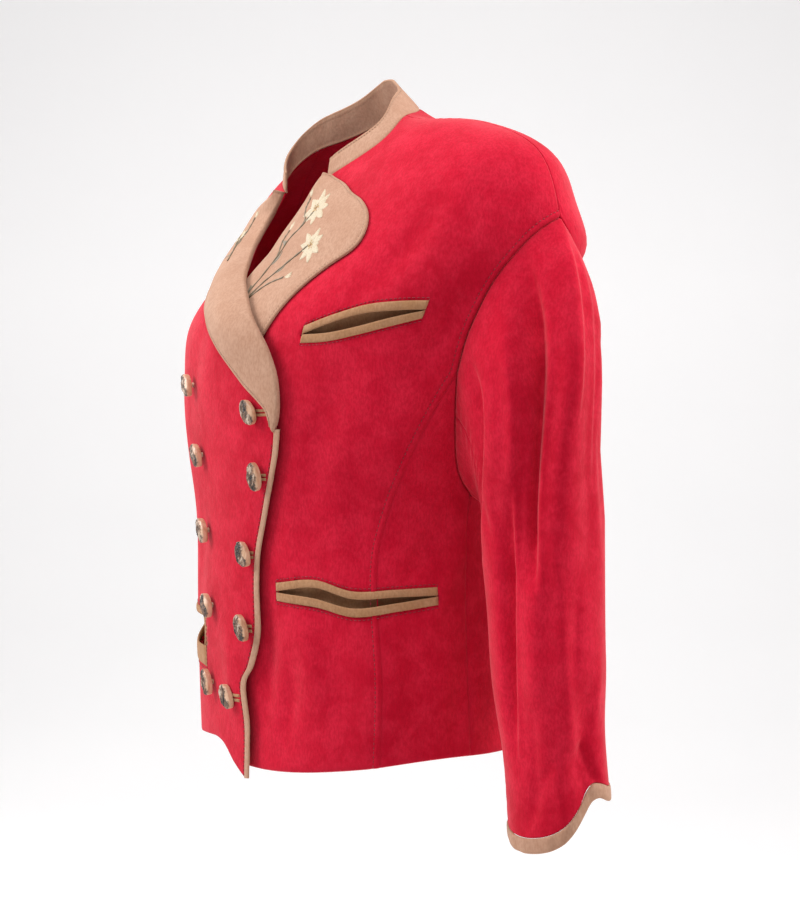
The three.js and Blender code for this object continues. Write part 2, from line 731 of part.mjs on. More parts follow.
// A point of the sleeve: along is 0 at the armhole and 1 at the cuff's edge.
function sleevePoint(i, along) {
  const around = aroundOf(i);
  const lastSection = sleeveSections.length - 1;
  if (along >= sleeveHeadShare) {
    const place = ((along - sleeveHeadShare) / (1 - sleeveHeadShare)) * lastSection;
    return sectionPoint(around, place);
  }
  const { turn, level } = headLoop[i];
  const start = bodySurface()(turn, level);
  const end = sectionPoint(around, 0);
  const length = start.distanceTo(end);
  const outwards = 0.5 + 0.5 * Math.cos(around * degrees);
  const from = new THREE.Vector3(
    mix(headOut.under, headOut.over, outwards),
    0,
    -mix(headDown.under, headDown.over, outwards),
  );
  from.setLength(length * headPush);
  const to = sectionPoint(around, 0.1).sub(end).setLength(length);
  const t = along / sleeveHeadShare;
  const [t2, t3] = [t * t, t * t * t];
  return start
    .multiplyScalar(2 * t3 - 3 * t2 + 1)
    .addScaledVector(from, t3 - 2 * t2 + t)
    .addScaledVector(end, 3 * t2 - 2 * t3)
    .addScaledVector(to, t3 - t2);
}

function sleeveFold(around, along) {
  let depth = 0;
  for (const fold of sleeveFolds) {
    if (along <= fold.from || along >= fold.to) continue;
    const across = turnBetween(around, fold.around);
    const fade = Math.sin((Math.PI * (along - fold.from)) / (fold.to - fold.from));
    depth += fold.depth * fade * Math.exp(-((across / fold.wide) ** 2));
  }
  return depth;
}

// Rings of points down the left sleeve between two shares of its length.
function sleeveRings(first, last, count) {
  const rings = Array.from({ length: count + 1 }, (_, j) => {
    const along = mix(first, last, j / count);
    return headLoop.map((_, i) => sleevePoint(i, along));
  });
  const normals = gridNormals(rings, true);
  return rings.map((ring, j) => {
    const along = mix(first, last, j / count);
    return ring.map((point, i) => point.addScaledVector(normals[j][i], sleeveFold(aroundOf(i), along)));
  });
}

const flipX = (grid) => grid.map((row) => row.map((point) => point.clone().setX(-point.x)));

function stretchOf(ring, from, to) {
  const count = (to - from + ring.length) % ring.length;
  return Array.from({ length: count + 1 }, (_, k) => ring[(from + k) % ring.length]);
}

function addSleeve(side) {
  const name = sideName(side);
  const rings = sleeveRings(headGap, cuffShare, rowsSleeve);
  const inner = movedOut(rings, -wall, true);
  inner[0] = headLoop.map(({ turn, level }) => bodySurface(() => -wall)(turn, level));
  const piece = (label, from, to) => {
    const gap = { amount: seamGap / 2, left: true, right: true, top: true, bottom: true };
    const pick = (grid) => trimmed(grid.map((ring) => stretchOf(ring, from, to)), gap);
    const faces = [pick(rings), pick(inner)];
    const [outside, inside] = side > 0 ? faces : faces.map(flipX);
    addPiece(`${label}_sleeve_${name}`, shellGeometry(outside, inside), suedeRed());
  };
  piece("upper", hindSeamAt, frontSeamAt);
  piece("under", frontSeamAt, hindSeamAt);
  const band = sleeveRings(cuffShare + cuffBandGap, 1, 2);
  const faces = [cuffProud, -wall - bindingProud].map((amount) => movedOut(band, amount, true));
  const [outside, inside] = side > 0 ? faces : faces.map(flipX);
  addPiece(`cuff_binding_${name}`, shellGeometry(outside, inside, true), suedeTan());
}

// ---- Collar, lapels, front binding and buttons

function collarPoint(place, up, share, side) {
  const foot = bodySurface()(place.turn, place.level);
  const shape = (key) => between(collarShape, key, share * (collarShape.length - 1));
  const rise = shape("rise");
  const lean = shape(side > 0 ? "leanLeft" : "leanRight");
  const inwards = new THREE.Vector3(-foot.x, -foot.y, 0).setLength(Math.sin(lean));
  const direction = inwards.setZ(Math.cos(lean));
  return foot.addScaledVector(direction, seamGap + (rise - seamGap) * up);
}

function addCollar() {
  const halfway = neckRun.length - 1;
  const half = neckRun.map((place, i) => ({ place, share: i / halfway, side: 1 }));
  const flipped = ({ place, share }) => ({ place: { ...place, turn: -place.turn }, share, side: -1 });
  const run = [...half, ...half.slice(0, -1).map(flipped).reverse()];
  const rows = Array.from({ length: rowsCollar + 1 }, (_, j) =>
    run.map(({ place, share, side }) => collarPoint(place, j / rowsCollar, share, side)),
  );
  addPiece("collar", wallOf(rows, wall), suedeTan());
}

// A lapel lies on its own front from the roll line to its free edge, puffed up between them.
function addLapel(side) {
  const left = side > 0;
  const roll = seamPoints(left ? rollLineLeft.slice(1) : rollLineRight, rowsLapel);
  const edge = seamPoints(left ? lapelEdgeLeft : lapelEdgeRight, rowsLapel);
  const surface = liftedBody(sideLift(side));
  const sheet = (depth) =>
    roll.map((start, j) =>
      straight(start, edge[j], columnsLapel).map(({ turn, level }, i) => {
        const free = left
          ? smoothStep(lapelFlat.fromLevel, lapelFlat.toLevel, level)
          : smoothStep(0, lapelStart, j / rowsLapel);
        const puff = lapelPuff * free * Math.sin((Math.PI * i) / columnsLapel);
        return surface(turn, level, lapelGap + puff + depth);
      }),
    );
  addPiece(`lapel_${sideName(side)}`, shellGeometry(sheet(wall), sheet(0)), suedeTan());
}

function addFrontBinding() {
  const places = bindingEdgeRight.map((outer, j) => [clothEdgeRight[j], outer]);
  const lift = (turn, level) => rightLift(turn, level) + bindingProud;
  const gap = { amount: seamGap / 2, left: true, top: true };
  const thick = wall + 2 * bindingProud;
  addPiece("front_binding_right", panelGeometry(places, { lift, thick, gap }), suedeTan());
}

function addButton({ name, turn, level, lean, sunk = 0 }) {
  const surface = (out) => bodySurface((a, b) => rightLift(a, b) - sunk + out)(turn, level);
  const place = surface(0);
  const ahead = surface(1).sub(place).normalize();
  const aside = new THREE.Vector3().crossVectors(ahead, new THREE.Vector3(0, 0, 1)).normalize();
  const up = new THREE.Vector3().crossVectors(aside, ahead);
  const longWay = up.multiplyScalar(Math.cos(lean * degrees));
  longWay.addScaledVector(aside, Math.sin(lean * degrees));
  const shortWay = new THREE.Vector3().crossVectors(ahead, longWay);
  const shank = new THREE.CylinderGeometry(shankRadius, shankRadius, shankLength, shankSides);
  shank.translate(0, layGap + shankLength / 2, 0);
  const face = new THREE.CylinderGeometry(1, 1, buttonThick, buttonSides);
  face.scale(buttonShort / 2, 1, buttonLong / 2);
  face.translate(0, layGap + shankLength - shankSunk + buttonThick / 2, 0);
  const geometry = fromSolid(toSolid(face).add(toSolid(shank)));
  geometry.applyMatrix4(new THREE.Matrix4().makeBasis(shortWay, ahead, longWay).setPosition(place));
  addPiece(`button_${name}`, geometry, horn());
}

[1, -1].forEach((side) => {
  addFront(side);
  addSideFront(side);
  addSleeve(side);
  addLapel(side);
});
addBack();
addCollar();
addFrontBinding();
pockets.forEach(addPocket);
buttonPlaces.forEach(addButton);

export default blazer;
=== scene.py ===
# A women's double-breasted trachten blazer in red suede with tan suede trim and horn buttons.
# Tables are in millimetres; meshes are made in metres. Front is towards -Y, the wearer's left
# towards +X, and the origin is the centre of the neck where the shoulder seams meet the collar.
import json
import math

import bpy
import numpy as np
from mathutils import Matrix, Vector
from mathutils.bvhtree import BVHTree

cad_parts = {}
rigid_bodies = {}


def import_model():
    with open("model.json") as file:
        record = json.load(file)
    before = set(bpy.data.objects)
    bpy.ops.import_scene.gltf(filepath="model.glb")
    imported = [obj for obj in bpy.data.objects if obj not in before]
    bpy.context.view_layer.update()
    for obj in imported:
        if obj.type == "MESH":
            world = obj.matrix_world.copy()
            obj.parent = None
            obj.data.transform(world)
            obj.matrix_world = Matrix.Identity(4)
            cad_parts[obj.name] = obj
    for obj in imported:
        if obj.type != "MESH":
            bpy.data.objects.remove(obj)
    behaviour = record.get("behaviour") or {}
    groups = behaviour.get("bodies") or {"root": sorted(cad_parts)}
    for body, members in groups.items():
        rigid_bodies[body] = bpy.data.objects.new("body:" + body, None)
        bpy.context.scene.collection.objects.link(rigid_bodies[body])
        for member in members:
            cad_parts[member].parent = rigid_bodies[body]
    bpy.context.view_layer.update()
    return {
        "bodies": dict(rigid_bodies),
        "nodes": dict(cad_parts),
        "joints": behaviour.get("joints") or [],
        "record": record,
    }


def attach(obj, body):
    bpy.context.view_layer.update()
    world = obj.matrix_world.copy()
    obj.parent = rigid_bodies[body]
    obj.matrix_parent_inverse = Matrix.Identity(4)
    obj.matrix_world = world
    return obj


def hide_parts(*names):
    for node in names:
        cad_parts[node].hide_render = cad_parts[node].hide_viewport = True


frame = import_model()
metre = 0.001  # one millimetre of the tables, in metres
print("frame loaded")

ringColumns = ("front", "side", "back", "half", "frontDepth", "backDepth", "centreY", "full")
bodyRows = [  # rings from the hem up to the neck; level 0 is the first row
    (-640, -607, -602, 198, 150, 140, 12, 2.15),  # hem
    (-560, -545, -545, 200, 153, 142, 12, 2.15),  # hip
    (-480, -470, -470, 194, 156, 138, 12, 2.15),  # pocket
    (-405, -400, -400, 192, 157, 136, 12, 2.15),  # waist
    (-335, -335, -335, 206, 163, 142, 13, 2.15),  # under bust
    (-268, -268, -268, 236, 172, 146, 16, 1.95),  # chest
    (-215, -205, -200, 268, 179, 138, 27, 1.85),  # upper chest
    (-172, -136, -145, 280, 164, 124, 43, 1.85),  # shoulder edge
    (-142, -72, -92, 258, 136, 112, 43, 1.9),  # shoulder tip
    (-115, -36, -44, 190, 106, 86, 30, 2),  # shoulder
    (-97, -20, -10, 110, 82, 64, 13, 2),  # shoulder root
    (-82, -2, 12, 74, 65, 53, 0, 2),  # neck
]
bodyRings = dict(zip(ringColumns, np.array(bodyRows, float).T))
levelPerTurn = 1 / 20  # one level is about as long as 20 degrees of turn

bodyFolds = [  # the large soft folds: turn, level, wide, tall, depth, lean
    (118, 4.2, 13, 2.6, -7, 3),
    (100, 2.4, 9, 2.2, 5, -3),
    (74, 3.1, 10, 1.1, -5, 8),
    (78, 6.3, 10, 1.2, -6, 8),
    (115, 6.65, 17, 0.95, 13, 0),
    (121, 6.35, 9, 0.45, -5, 0),
    (46, 1.5, 9, 1.6, -3.5, -4),
    (60, 0.6, 9, 1.3, 4, 2),
    (150, 3.2, 12, 2.2, -5, -2),
    (180, 2.1, 14, 2.4, -4, 0),
    (-150, 2.8, 11, 2.4, -6, 3),
    (-116, 4.0, 12, 2.4, -7, -3),
    (-96, 2.0, 9, 2.2, 5, 3),
    (-78, 6.3, 10, 1.2, -6, -8),
    (-115, 6.65, 17, 0.95, 13, 0),
    (-121, 6.35, 9, 0.45, -5, 0),
    (-52, 3.0, 10, 1.6, -3.5, 4),
]
bodyCreases = [  # smaller creases that lie on them, with the same columns
    (52, 6.9, 5, 1.3, -1.6, 9),
    (62, 7.6, 6, 1.2, 1.5, 6),
    (70, 5.6, 4, 1.0, -2.2, 6),
    (66, 4.3, 5, 1.2, 1.4, 5),
    (44, 4.4, 7, 1.6, -1.5, 5),
    (34, 3.6, 5, 1.5, 1.2, 3),
    (56, 3.2, 5, 1.1, -1.4, -3),
    (78, 2.7, 4, 0.7, -2.2, 14),
    (84, 2.2, 4, 0.9, 1.5, 12),
    (38, 1.4, 5, 0.9, 1.6, -5),
    (30, 0.9, 4, 0.8, -2.0, 4),
    (22, 1.3, 4, 1.0, -2.4, 3),
    (72, 1.2, 5, 1.0, -1.3, -2),
    (88, 0.9, 4, 1.1, -1.6, 3),
    (-6, 5.3, 6, 1.2, -1.2, 6),
    (-20, 4.4, 5, 1.4, 1.2, -4),
    (-10, 2.6, 5, 1.1, -1.1, 5),
    (8, 1.2, 4, 0.8, 1.3, -4),
    (-34, 2.2, 6, 1.4, -1.5, 3),
    (-48, 6.6, 6, 1.4, -1.6, -7),
    (-62, 4.6, 6, 1.3, 1.6, -5),
    (-70, 2.6, 5, 1.0, -1.8, -9),
    (-84, 1.3, 5, 1.2, -1.4, 2),
    (124, 6.4, 7, 1.3, -1.8, 6),
    (138, 5.2, 7, 1.6, 1.6, -4),
    (160, 6.4, 9, 1.4, -1.3, 3),
    (170, 3.9, 7, 1.4, 1.4, 3),
    (196, 5.6, 8, 1.7, -1.5, -3),
    (204, 3.4, 6, 1.4, -1.7, 4),
    (222, 5.0, 7, 1.5, 1.6, 4),
    (236, 6.2, 7, 1.3, -1.8, -6),
    (160, 1.2, 7, 1.1, 1.5, 2),
    (136, 1.4, 6, 1.3, -1.6, -3),
    (214, 1.2, 6, 1.2, -1.5, 3),
    (240, 2.0, 6, 1.4, 1.6, -2),
]

creaseDepth = 2.2  # how many times deeper than their rows the small creases are made
lap = {  # the right front stands off the left one where it laps over
    "lift": 7.6,
    "turns": (-36, -14),  # it rises from the first of these turns to the second
    "levels": (7.4, 9.6),  # and comes down again between these levels
}
armhole = {  # an oval along the armhole seams, where small creases fade out
    "turn": 95, "level": 5.3, "wide": 18, "tall": 1.85,
    "ring": 0.96,  # where the seams lie, as a share of the oval
    "fade": (0.14, 0.5),  # no crease nearer than the first, all of it beyond the second
}
surfaceStep = {"turn": 1, "level": 0.02}  # how far apart the places are that give a surface's direction


def mix(a, b, t):
    return a + (b - a) * t


def smoothStep(start, end, value):
    t = np.clip((np.asarray(value, float) - start) / (end - start), 0, 1)
    return t * t * (3 - 2 * t)


def bell(value, width):
    return np.exp(-((value / width) ** 2))


def turnBetween(turn, other):
    return np.mod(turn - other + 180, 360) - 180


def curveThrough(p0, p1, p2, p3, t):
    # A smooth curve from p1 to p2, aimed by the points before and after them.
    bend = (2 * p0 - 5 * p1 + 4 * p2 - p3) * t**2
    return p1 + 0.5 * ((p2 - p0) * t + bend + (3 * p1 - p0 - 3 * p2 + p3) * t**3)


def between(values, place):
    # A smooth value between table rows, through each row.
    values = np.asarray(values, float)
    last = len(values) - 1
    at = np.clip(place, 0, last)
    i = np.minimum(np.floor(at).astype(int), last - 1)
    t = at - i
    p1, p2 = values[i], values[i + 1]
    p0 = np.where(i > 0, values[np.maximum(i - 1, 0)], 2 * p1 - p2)
    p3 = np.where(i < last - 1, values[np.minimum(i + 2, last)], 2 * p2 - p1)
    return curveThrough(p0, p1, p2, p3, t)


def foldDepth(folds, turn, level):
    depth = np.zeros(np.broadcast(turn, level).shape)
    for middleTurn, middleLevel, wide, tall, deep, lean in folds:
        along = (level - middleLevel) / tall
        fade = np.where(np.abs(along) < 1, np.cos(along * math.pi / 2) ** 2, 0)
        across = turnBetween(turn, middleTurn + lean * (level - middleLevel))
        depth += deep * fade * bell(across, wide)
    return depth


def bodyPoint(turn, level):
    # A point of the body's form, with its large folds.
    ring = {key: between(values, level) for key, values in bodyRings.items()}
    sine, cosine = np.sin(np.radians(turn)), np.cos(np.radians(turn))
    power = 2 / ring["full"]
    front = cosine > 0
    reach = np.where(front, ring["frontDepth"], ring["backDepth"]) * np.abs(cosine) ** power
    fold = foldDepth(bodyFolds, turn, level)
    x = ring["half"] * np.sign(sine) * np.abs(sine) ** power + fold * sine
    y = ring["centreY"] - np.sign(cosine) * reach - fold * cosine
    z = mix(ring["side"], np.where(front, ring["front"], ring["back"]), cosine**2)
    return np.stack([x, y, z], -1)


def unit(vectors):
    return vectors / np.maximum(np.linalg.norm(vectors, axis=-1, keepdims=True), 1e-9)


def bodySurface(turn, level):
    # Points of the body and the direction out of it.
    turn, level = np.broadcast_arrays(np.asarray(turn, float), np.asarray(level, float))
    aside, above = surfaceStep["turn"], surfaceStep["level"]
    up = bodyPoint(turn, level + above) - bodyPoint(turn, level - above)
    along = bodyPoint(turn + aside, level) - bodyPoint(turn - aside, level)
    return bodyPoint(turn, level), unit(np.cross(along, up))


def rightLift(turn, level):
    return lap["lift"] * smoothStep(*lap["turns"], turn) * (1 - smoothStep(*lap["levels"], level))


def liftOf(side):
    return rightLift if side < 0 else lambda turn, level: np.zeros(np.broadcast(turn, level).shape)


def awayFromArmhole(turn, level):
    # 0 along the armhole seams, where a sleeve meets the body, and 1 a hand's width away.
    aside = (np.abs(turn) - armhole["turn"]) / armhole["wide"]
    above = (level - armhole["level"]) / armhole["tall"]
    return smoothStep(*armhole["fade"], np.abs(np.hypot(aside, above) - armhole["ring"]))


def clothPoint(side, turn, level, out=0.0):
    # A point of the cloth, folds, creases and lap included, and the direction out of it.
    point, normal = bodySurface(turn, level)
    turn, level = np.asarray(turn, float), np.asarray(level, float)
    relief = creaseDepth * foldDepth(bodyCreases, turn, level) * awayFromArmhole(turn, level)
    return point + normal * (liftOf(side)(turn, level) + relief + out)[..., None], normal


# Seams: turn round the body from centre front towards the wearer's left, and level.
rollLineRight = [(29, 4.3), (30.3, 4.55), (29.6, 4.95), (26.3, 5.4), (22, 5.78), (13.6, 6.38),
                 (4, 6.97), (-10.7, 8.1), (-23, 9.25), (-31, 10.25)]
rollLineLeft = [(-8, 4.3), (-4, 5.6), (2, 6.7), (1, 7.8), (1, 8.6), (6, 9.4), (16, 10), (31, 10.25)]
edgeRight = [(14.5, 0), (15.5, 0.6), (14.5, 1.1), (18, 1.35), (21.5, 1.8), (22.5, 2.6), (26, 3.2),
             (30, 3.9), (31, 4.3)]
edgeLeft = [(3, 0.15), (-3, 1), (-8, 2.2), (-8, 4.3)]
hemRight = [(14.5, 0), (9, 0.16), (2, 0.38), (-8, 0.38), (-28, 0.24), (-61, 0)]
neckline = [(31, 10.25), (58, 9.75), (98, 10.5), (140, 10.85), (180, 11)]
princessSeam = [(61, 0), (62, 1.2), (62, 2.4), (65.5, 3.1), (71.5, 3.95), (78, 5)]
sideSeam = [(91, 0), (90, 1.8), (91, 3.4)]
armholeLow = [(78, 5), (82.5, 4.35), (86.5, 3.75), (91, 3.4)]
armholeFront = [(78, 5), (76.5, 5.6), (78, 6.2), (82, 6.6), (88, 6.88), (97, 7.05)]
armholeBack = [(91, 3.4), (102, 3.75), (109, 4.7), (112, 5.6), (109, 6.5), (97, 7.05)]
lapelEdgeLeft = [(19, 5.35), (22, 5.6), (24, 5.86), (28, 6.45), (32, 6.8), (37, 7.05), (38.5, 7.3),
                 (38, 7.7), (35.5, 8.3), (33, 8.9), (34, 9.95)]
lapelEdgeRight = [(28.4, 4.37), (27, 4.55), (24, 4.7), (19, 4.93), (12.5, 5.3), (2.5, 5.88),
                  (-9, 6.4), (-20, 6.95), (-30, 7.5), (-37, 8.15), (-39, 8.9), (-33, 9.95)]
bindingTurn = 1.7  # width of the right front's edge binding, in degrees
seamShares = {  # how the rows and columns of a panel are shared out along its seams
    "edge": 8, "roll": 10, "neckFront": 3, "neckBack": 5, "princess": 12, "side": 12, "shoulder": 11,
    "armFront": 9, "underArm": 6, "armBack": 8,
}


def seamRun(rows):
    # A seam as a function of the share along it, evenly spaced through its table.
    points = np.array(rows, float) * (levelPerTurn, 1)
    padded = np.vstack([points[:1], points, points[-1:]])
    place = np.linspace(0, len(points) - 1, 401)
    i = np.minimum(place.astype(int), len(points) - 2)
    t = (place - i)[:, None]
    curve = curveThrough(*(padded[i + k] for k in range(4)), t)
    steps = np.linalg.norm(np.diff(curve, axis=0), axis=1)
    lengths = np.append(0, np.cumsum(steps))
    curve[:, 0] /= levelPerTurn

    def run(share):
        at = np.asarray(share, float) * lengths[-1]
        return np.stack([np.interp(at, lengths, curve[:, k]) for k in (0, 1)], -1)

    return run


def joined(*parts):
    # Runs end to end, each with its share of the rows.
    edges = np.cumsum([0] + [count for _, count in parts])

    def run(share):
        place = np.asarray(share, float) * edges[-1]
        out = parts[0][0](np.clip(place / parts[0][1], 0, 1))
        for (part, count), start in list(zip(parts, edges))[1:]:
            here = part(np.clip((place - start) / count, 0, 1))
            out = np.where((place >= start)[..., None], here, out)
        return out

    return run


def mirrored(run):
    return lambda share: run(share) * (-1, 1)


def aroundBack(run):
    return lambda share: np.array((360, 0)) + run(share) * (-1, 1)


def backwards(run):
    return lambda share: run(1 - np.asarray(share, float))


def stretch(run, start, end):
    return lambda share: run(mix(start, end, np.asarray(share, float)))


def straight(start, end):
    start, end = np.asarray(start, float), np.asarray(end, float)
    return lambda share: mix(start, end, np.asarray(share, float)[..., None])


def spread(bottom, top, left, right, across, up):
    # A grid of places that fills the space between four seams.
    s, t = across[None, :, None], up[:, None, None]
    low = mix(bottom(0.0), bottom(1.0), s)
    high = mix(top(0.0), top(1.0), s)
    sides = mix(left(up)[:, None], right(up)[:, None], s)
    ends = mix(bottom(across)[None], top(across)[None], t)
    return sides + ends - mix(low, high, t)


def stations(length, step):
    # Shares along a length, closer together near both ends where the seams are.
    near = [p for p in (0, 0.6, 1.3, 2.2, 3.4, 4.8, 6.2, 7.6, 9.4, 12) if p < length / 3]
    middle = np.linspace(near[-1], length - near[-1], max(int(length / step), 2) + 1)[1:-1]
    return np.concatenate([near, middle, length - np.array(near[::-1])]) / length


pieces = []
rimRound = 0.35  # how far a sheet's rim is rounded out, as a share of its thickness


def gridFaces(index, closed=False):
    # The squares of a grid of point numbers.
    if closed:
        index = np.hstack([index, index[:, :1]])
    corners = index[:-1, :-1], index[:-1, 1:], index[1:, 1:], index[1:, :-1]
    return np.stack(corners, -1).reshape(-1, 4)


def gridNumbers(grid):
    return np.arange(grid.shape[0] * grid.shape[1]).reshape(grid.shape[:2])


def addMesh(name, points, faces, material, attributes=None):
    mesh = bpy.data.meshes.new(name)
    mesh.from_pydata((np.asarray(points) * metre).tolist(), [], [list(face) for face in faces])
    for key, values in (attributes or {}).items():
        mesh.attributes.new(key, "FLOAT", "POINT").data.foreach_set("value", np.asarray(values, np.float32))
    mesh.polygons.foreach_set("use_smooth", [True] * len(mesh.polygons))
    mesh.materials.append(material)
    mesh.update()
    piece = bpy.data.objects.new(name, mesh)
    bpy.context.scene.collection.objects.link(piece)
    pieces.append(piece)
    return piece


def gridNormals(grid, closed=False):
    if closed:
        along = np.roll(grid, -1, 1) - np.roll(grid, 1, 1)
    else:
        along = np.gradient(grid, axis=1)
    return unit(np.cross(along, np.gradient(grid, axis=0)))


def edgeDistances(grid):
    # How far each point of a grid is from its left, right, bottom and top edges.
    across = np.linalg.norm(np.diff(grid, axis=1), axis=-1)
    up = np.linalg.norm(np.diff(grid, axis=0), axis=-1)
    left = np.pad(np.cumsum(across, 1), ((0, 0), (1, 0)))
    bottom = np.pad(np.cumsum(up, 0), ((1, 0), (0, 0)))
    return {"left": left, "right": left[:, -1:] - left, "bottom": bottom, "top": bottom[-1:] - bottom}


def shellFaces(outer, inner, keep=None):
    # A closed thin shell with a rounded rim. keep says which squares of the grid stay.
    def beyond(edge, under, before):
        thick = np.linalg.norm(edge - under, axis=-1, keepdims=True)
        return 0.5 * (edge + under) + rimRound * thick * unit(edge - before)

    rows, columns = outer.shape[:2]
    points = np.zeros((rows + 2, columns + 2, 3))
    points[1:-1, 1:-1] = outer
    points[0, 1:-1] = beyond(outer[0], inner[0], outer[1])
    points[-1, 1:-1] = beyond(outer[-1], inner[-1], outer[-2])
    points[1:-1, 0] = beyond(outer[:, 0], inner[:, 0], outer[:, 1])
    points[1:-1, -1] = beyond(outer[:, -1], inner[:, -1], outer[:, -2])
    for j, above in ((0, 1), (-1, -2)):
        for i, aside in ((0, 1), (-1, -2)):
            points[j, i] = 0.5 * (points[j, aside] + points[above, i])
    outside = gridNumbers(points)
    inside = outside.copy()
    inside[1:-1, 1:-1] = outside.size + gridNumbers(inner)
    faces, under = gridFaces(outside), gridFaces(inside)[:, ::-1]
    if keep is not None:
        mask = np.pad(keep, 1, constant_values=True)
        faces, under = faces[mask.reshape(-1)], under[mask.reshape(-1)]
        faces = np.vstack([faces, mouthWalls(mask, outside, inside)])
    return np.vstack([points.reshape(-1, 3), inner.reshape(-1, 3)]), np.vstack([faces, under])


def mouthWalls(mask, outside, inside):
    # Joins the outer and inner faces round a cut opening.
    walls = []
    for j, i in np.argwhere(mask[:, :-1] != mask[:, 1:]):
        a, b = (outside[j, i + 1], outside[j + 1, i + 1]), (inside[j, i + 1], inside[j + 1, i + 1])
        walls.append((a[0], b[0], b[1], a[1]) if mask[j, i] else (a[1], b[1], b[0], a[0]))
    for j, i in np.argwhere(mask[:-1] != mask[1:]):
        a, b = (outside[j + 1, i], outside[j + 1, i + 1]), (inside[j + 1, i], inside[j + 1, i + 1])
        walls.append((a[1], b[1], b[0], a[0]) if mask[j, i] else (a[0], b[0], b[1], a[1]))
    return np.array(walls)


def shellValues(values):
    # A per-point value for the outer grid, its rim and the inner grid.
    edge = np.pad(values, 1, mode="edge")
    return np.concatenate([edge.reshape(-1), values.reshape(-1)])


def rollOver(grid, normals, radius, tuck):
    # Turns the last column of a sheet under: a half round of this radius, then a flat tuck.
    edge, normal = grid[:, -1], normals[:, -1]
    ahead = unit(edge - grid[:, -2])
    ahead = unit(ahead - normal * np.sum(ahead * normal, -1, keepdims=True))
    radius = np.broadcast_to(radius, edge.shape[:1])[:, None]
    centre = edge - normal * radius
    extra = []
    for angle in np.radians((25, 50, 75, 100, 125, 150, 180)):
        extra.append(centre + radius * (normal * math.cos(angle) + ahead * math.sin(angle)))
    for share in (0.35, 0.7, 1.0):
        extra.append(centre - normal * radius - ahead * tuck * share)
    return np.concatenate([grid, np.stack(extra, 1)], 1)


def turnedOut(faces, sheet, row, column, out):
    # The faces of a sheet, reversed if they look against this direction.
    here = sheet[row, column]
    facing = np.cross(sheet[row, column + 1] - here, sheet[row + 1, column] - here)
    return faces[:, ::-1] if np.dot(facing, out) < 0 else faces



class Nodes:
    # A short way to write a material's nodes.

    def __init__(self, name):
        self.material = bpy.data.materials.new(name)
        self.material.use_nodes = True
        self.tree = self.material.node_tree
        self.shader = self.tree.nodes["Principled BSDF"]
        self.place = self.add("ShaderNodeTexCoord").outputs["Object"]

    def add(self, kind, **settings):
        node = self.tree.nodes.new(kind)
        for key, value in settings.items():
            setattr(node, key, value)
        return node

    def link(self, source, target):
        self.tree.links.new(source, target)

    def noise(self, scale, detail=4, roughness=0.55, stretch=None, distortion=0.0):
        node = self.add("ShaderNodeTexNoise")
        node.inputs["Scale"].default_value = scale
        node.inputs["Detail"].default_value = detail
        node.inputs["Roughness"].default_value = roughness
        node.inputs["Distortion"].default_value = distortion
        source = self.place
        if stretch:
            mapping = self.add("ShaderNodeMapping")
            mapping.inputs["Scale"].default_value = stretch
            self.link(source, mapping.inputs["Vector"])
            source = mapping.outputs["Vector"]
        self.link(source, node.inputs["Vector"])
        return node.outputs["Fac"]

    def remap(self, source, low, high, toLow=0.0, toHigh=1.0):
        node = self.add("ShaderNodeMapRange", interpolation_type="SMOOTHSTEP")
        for key, value in (("From Min", low), ("From Max", high), ("To Min", toLow), ("To Max", toHigh)):
            node.inputs[key].default_value = value
        self.link(source, node.inputs["Value"])
        return node.outputs["Result"]

    def attribute(self, name):
        return self.add("ShaderNodeAttribute", attribute_name=name).outputs["Fac"]

    def maths(self, operation, a, b):
        node = self.add("ShaderNodeMath", operation=operation)
        for socket, value in zip(node.inputs, (a, b)):
            if isinstance(value, (int, float)):
                socket.default_value = value
            else:
                self.link(value, socket)
        return node.outputs[0]

    def blendColours(self, factor, first, second):
        node = self.add("ShaderNodeMix", data_type="RGBA")
        self.link(factor, node.inputs["Factor"])
        for key, value in (("A", first), ("B", second)):
            socket = [s for s in node.inputs if s.name == key and s.type == "RGBA"][0]
            if isinstance(value, tuple):
                socket.default_value = (*value, 1)
            else:
                self.link(value, socket)
        return [s for s in node.outputs if s.type == "RGBA"][0]

    def bump(self, height, strength, distance, after=None):
        node = self.add("ShaderNodeBump")
        node.inputs["Strength"].default_value = strength
        node.inputs["Distance"].default_value = distance
        self.link(height, node.inputs["Height"])
        if after:
            self.link(after, node.inputs["Normal"])
        return node.outputs["Normal"]


suedeLook = {
    "clouds": (7, 3, 0.5), "patches": (46, 6, 0.68),  # each pattern's scale, detail and roughness
    "fibres": (520, 3, 0.6), "grain": (1500, 2, 0.6),
    "fibreStretch": (1, 1, 0.45),
    "patchShare": 0.38, "fibreShare": 0.42,  # how much of their colours they add
    "specular": 0.12,
    "patchBump": (0.25, 0.0009), "fibreBump": (0.5, 0.0004), "grainBump": (0.35, 0.00015),  # strength, metres
}


